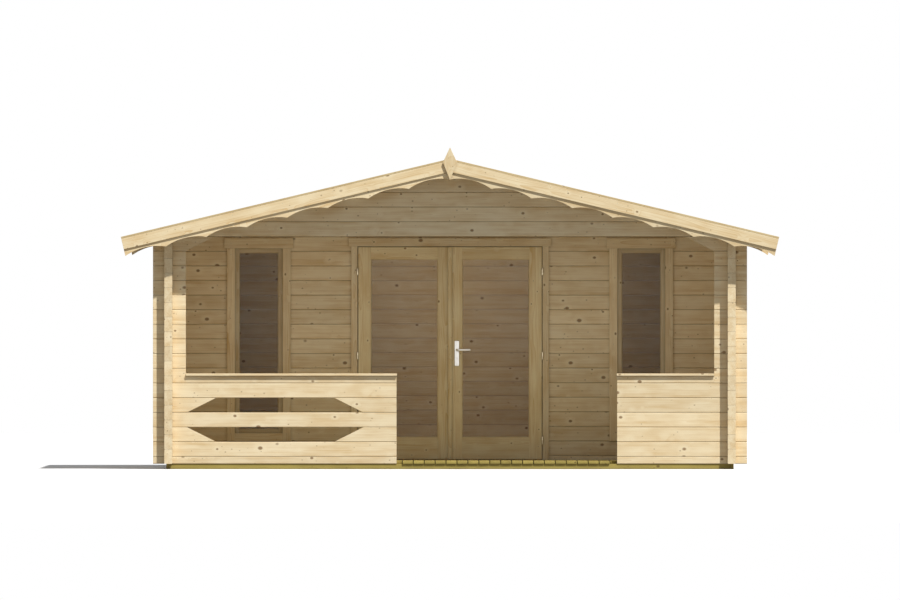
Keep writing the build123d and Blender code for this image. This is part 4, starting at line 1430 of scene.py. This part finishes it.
@dataclass
class Studio:
    """Pale floor, white surroundings, a sun-like lamp, three fill lamps and the flat front camera."""

    sun_travel: Place = (-0.69, 1.0, -1.725)
    sun_strength: float = 4.0
    sun_angle_deg: float = 1.2
    sky_strength: float = 0.3
    sky_colour: str = "#eef4ff"
    fills: tuple[FillLamp, ...] = (
        FillLamp("room_lamp", 6.8, (1.8, 1.2), (0.0, 0.6, 1.7), "#ffeed8", False),
        FillLamp("left_veranda_lamp", 1.32, (2.2, 0.9), (-1.3, -2.3, 1.45), "#ffffff", True),
        FillLamp("right_veranda_lamp", 1.32, (2.2, 0.9), (1.3, -2.3, 1.45), "#ffffff", True))
    lens_mm: float = 1100.0
    sensor_mm: float = 36.0
    photo_width_m: float = 7.902
    photo_middle_z: float = 1.4794
    picture_plane_y: float = -1.75
    floor_half_m: float = 60.0
    floor_drop_mm: float = 1.0

    def build(self) -> None:
        """Makes the floor, the light and the camera."""
        h, z = self.floor_half_m, -self.floor_drop_mm * MM
        corners = np.array([[-h, -h, z], [h, -h, z], [h, h, z], [-h, h, z]])
        floor = (corners, [np.array([[0, 1, 2, 3]])])
        put_shape("studio_floor", floor, FloorFinish().material())
        self.light()
        for lamp in self.fills:
            lamp.build()
        self.surround()
        self.aim()

    def light(self) -> None:
        """Hangs a sun-like lamp at the upper right front."""
        lamp = bpy.data.lights.new("key_lamp", "SUN")
        lamp.energy = self.sun_strength
        lamp.angle = float(np.radians(self.sun_angle_deg))
        made = bpy.data.objects.new("key_lamp", lamp)
        made.rotation_mode = "QUATERNION"
        made.rotation_quaternion = Vector(self.sun_travel).to_track_quat("-Z", "Y")
        bpy.context.scene.collection.objects.link(made)

    def surround(self) -> None:
        """Makes an even, faintly blue sky that shows as plain white where it is looked at."""
        world = bpy.data.worlds.new("white_surroundings")
        bpy.context.scene.world = world
        world.use_nodes = True
        tree = world.node_tree
        seen = seen_directly(tree)
        step = (seen, 1.0 - self.sky_strength, self.sky_strength)
        strength = add_node(tree, Kind.MATH, step, operation="MULTIPLY_ADD").outputs[0]
        colours = {0: seen, 6: hex_to_linear(self.sky_colour), 7: (1.0, 1.0, 1.0, 1.0)}
        colour = add_node(tree, Kind.MIX, colours, data_type="RGBA").outputs[2]
        tree.links.new(colour, tree.nodes["Background"].inputs["Color"])
        tree.links.new(strength, tree.nodes["Background"].inputs["Strength"])

    def aim(self) -> None:
        """Sets a very long lens level with the middle of the picture, square on to the front."""
        data = bpy.data.cameras.new("front_camera")
        data.lens = self.lens_mm
        data.sensor_width = self.sensor_mm
        distance = self.photo_width_m * self.lens_mm / self.sensor_mm
        data.clip_start, data.clip_end = 1.0, distance * 2
        made = bpy.data.objects.new("front_camera", data)
        made.location = (0.0, self.picture_plane_y - distance, self.photo_middle_z)
        made.rotation_euler = (float(np.pi / 2), 0.0, 0.0)
        bpy.context.scene.collection.objects.link(made)
        bpy.context.scene.camera = made


def main() -> None:
    """Loads the frame, dresses every part of the cabin and sets up the studio."""
    logging.basicConfig(level=logging.INFO, format="%(message)s")
    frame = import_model()
    bpy.context.scene.view_settings.view_transform = "Standard"
    LogShell().build(frame)
    Ground().build(frame)
    RoofTimber().build(frame)
    Windows().build(frame)
    Doors().build(frame)
    Fixings().build()
    Studio().build()


if __name__ == "__main__":
    main()
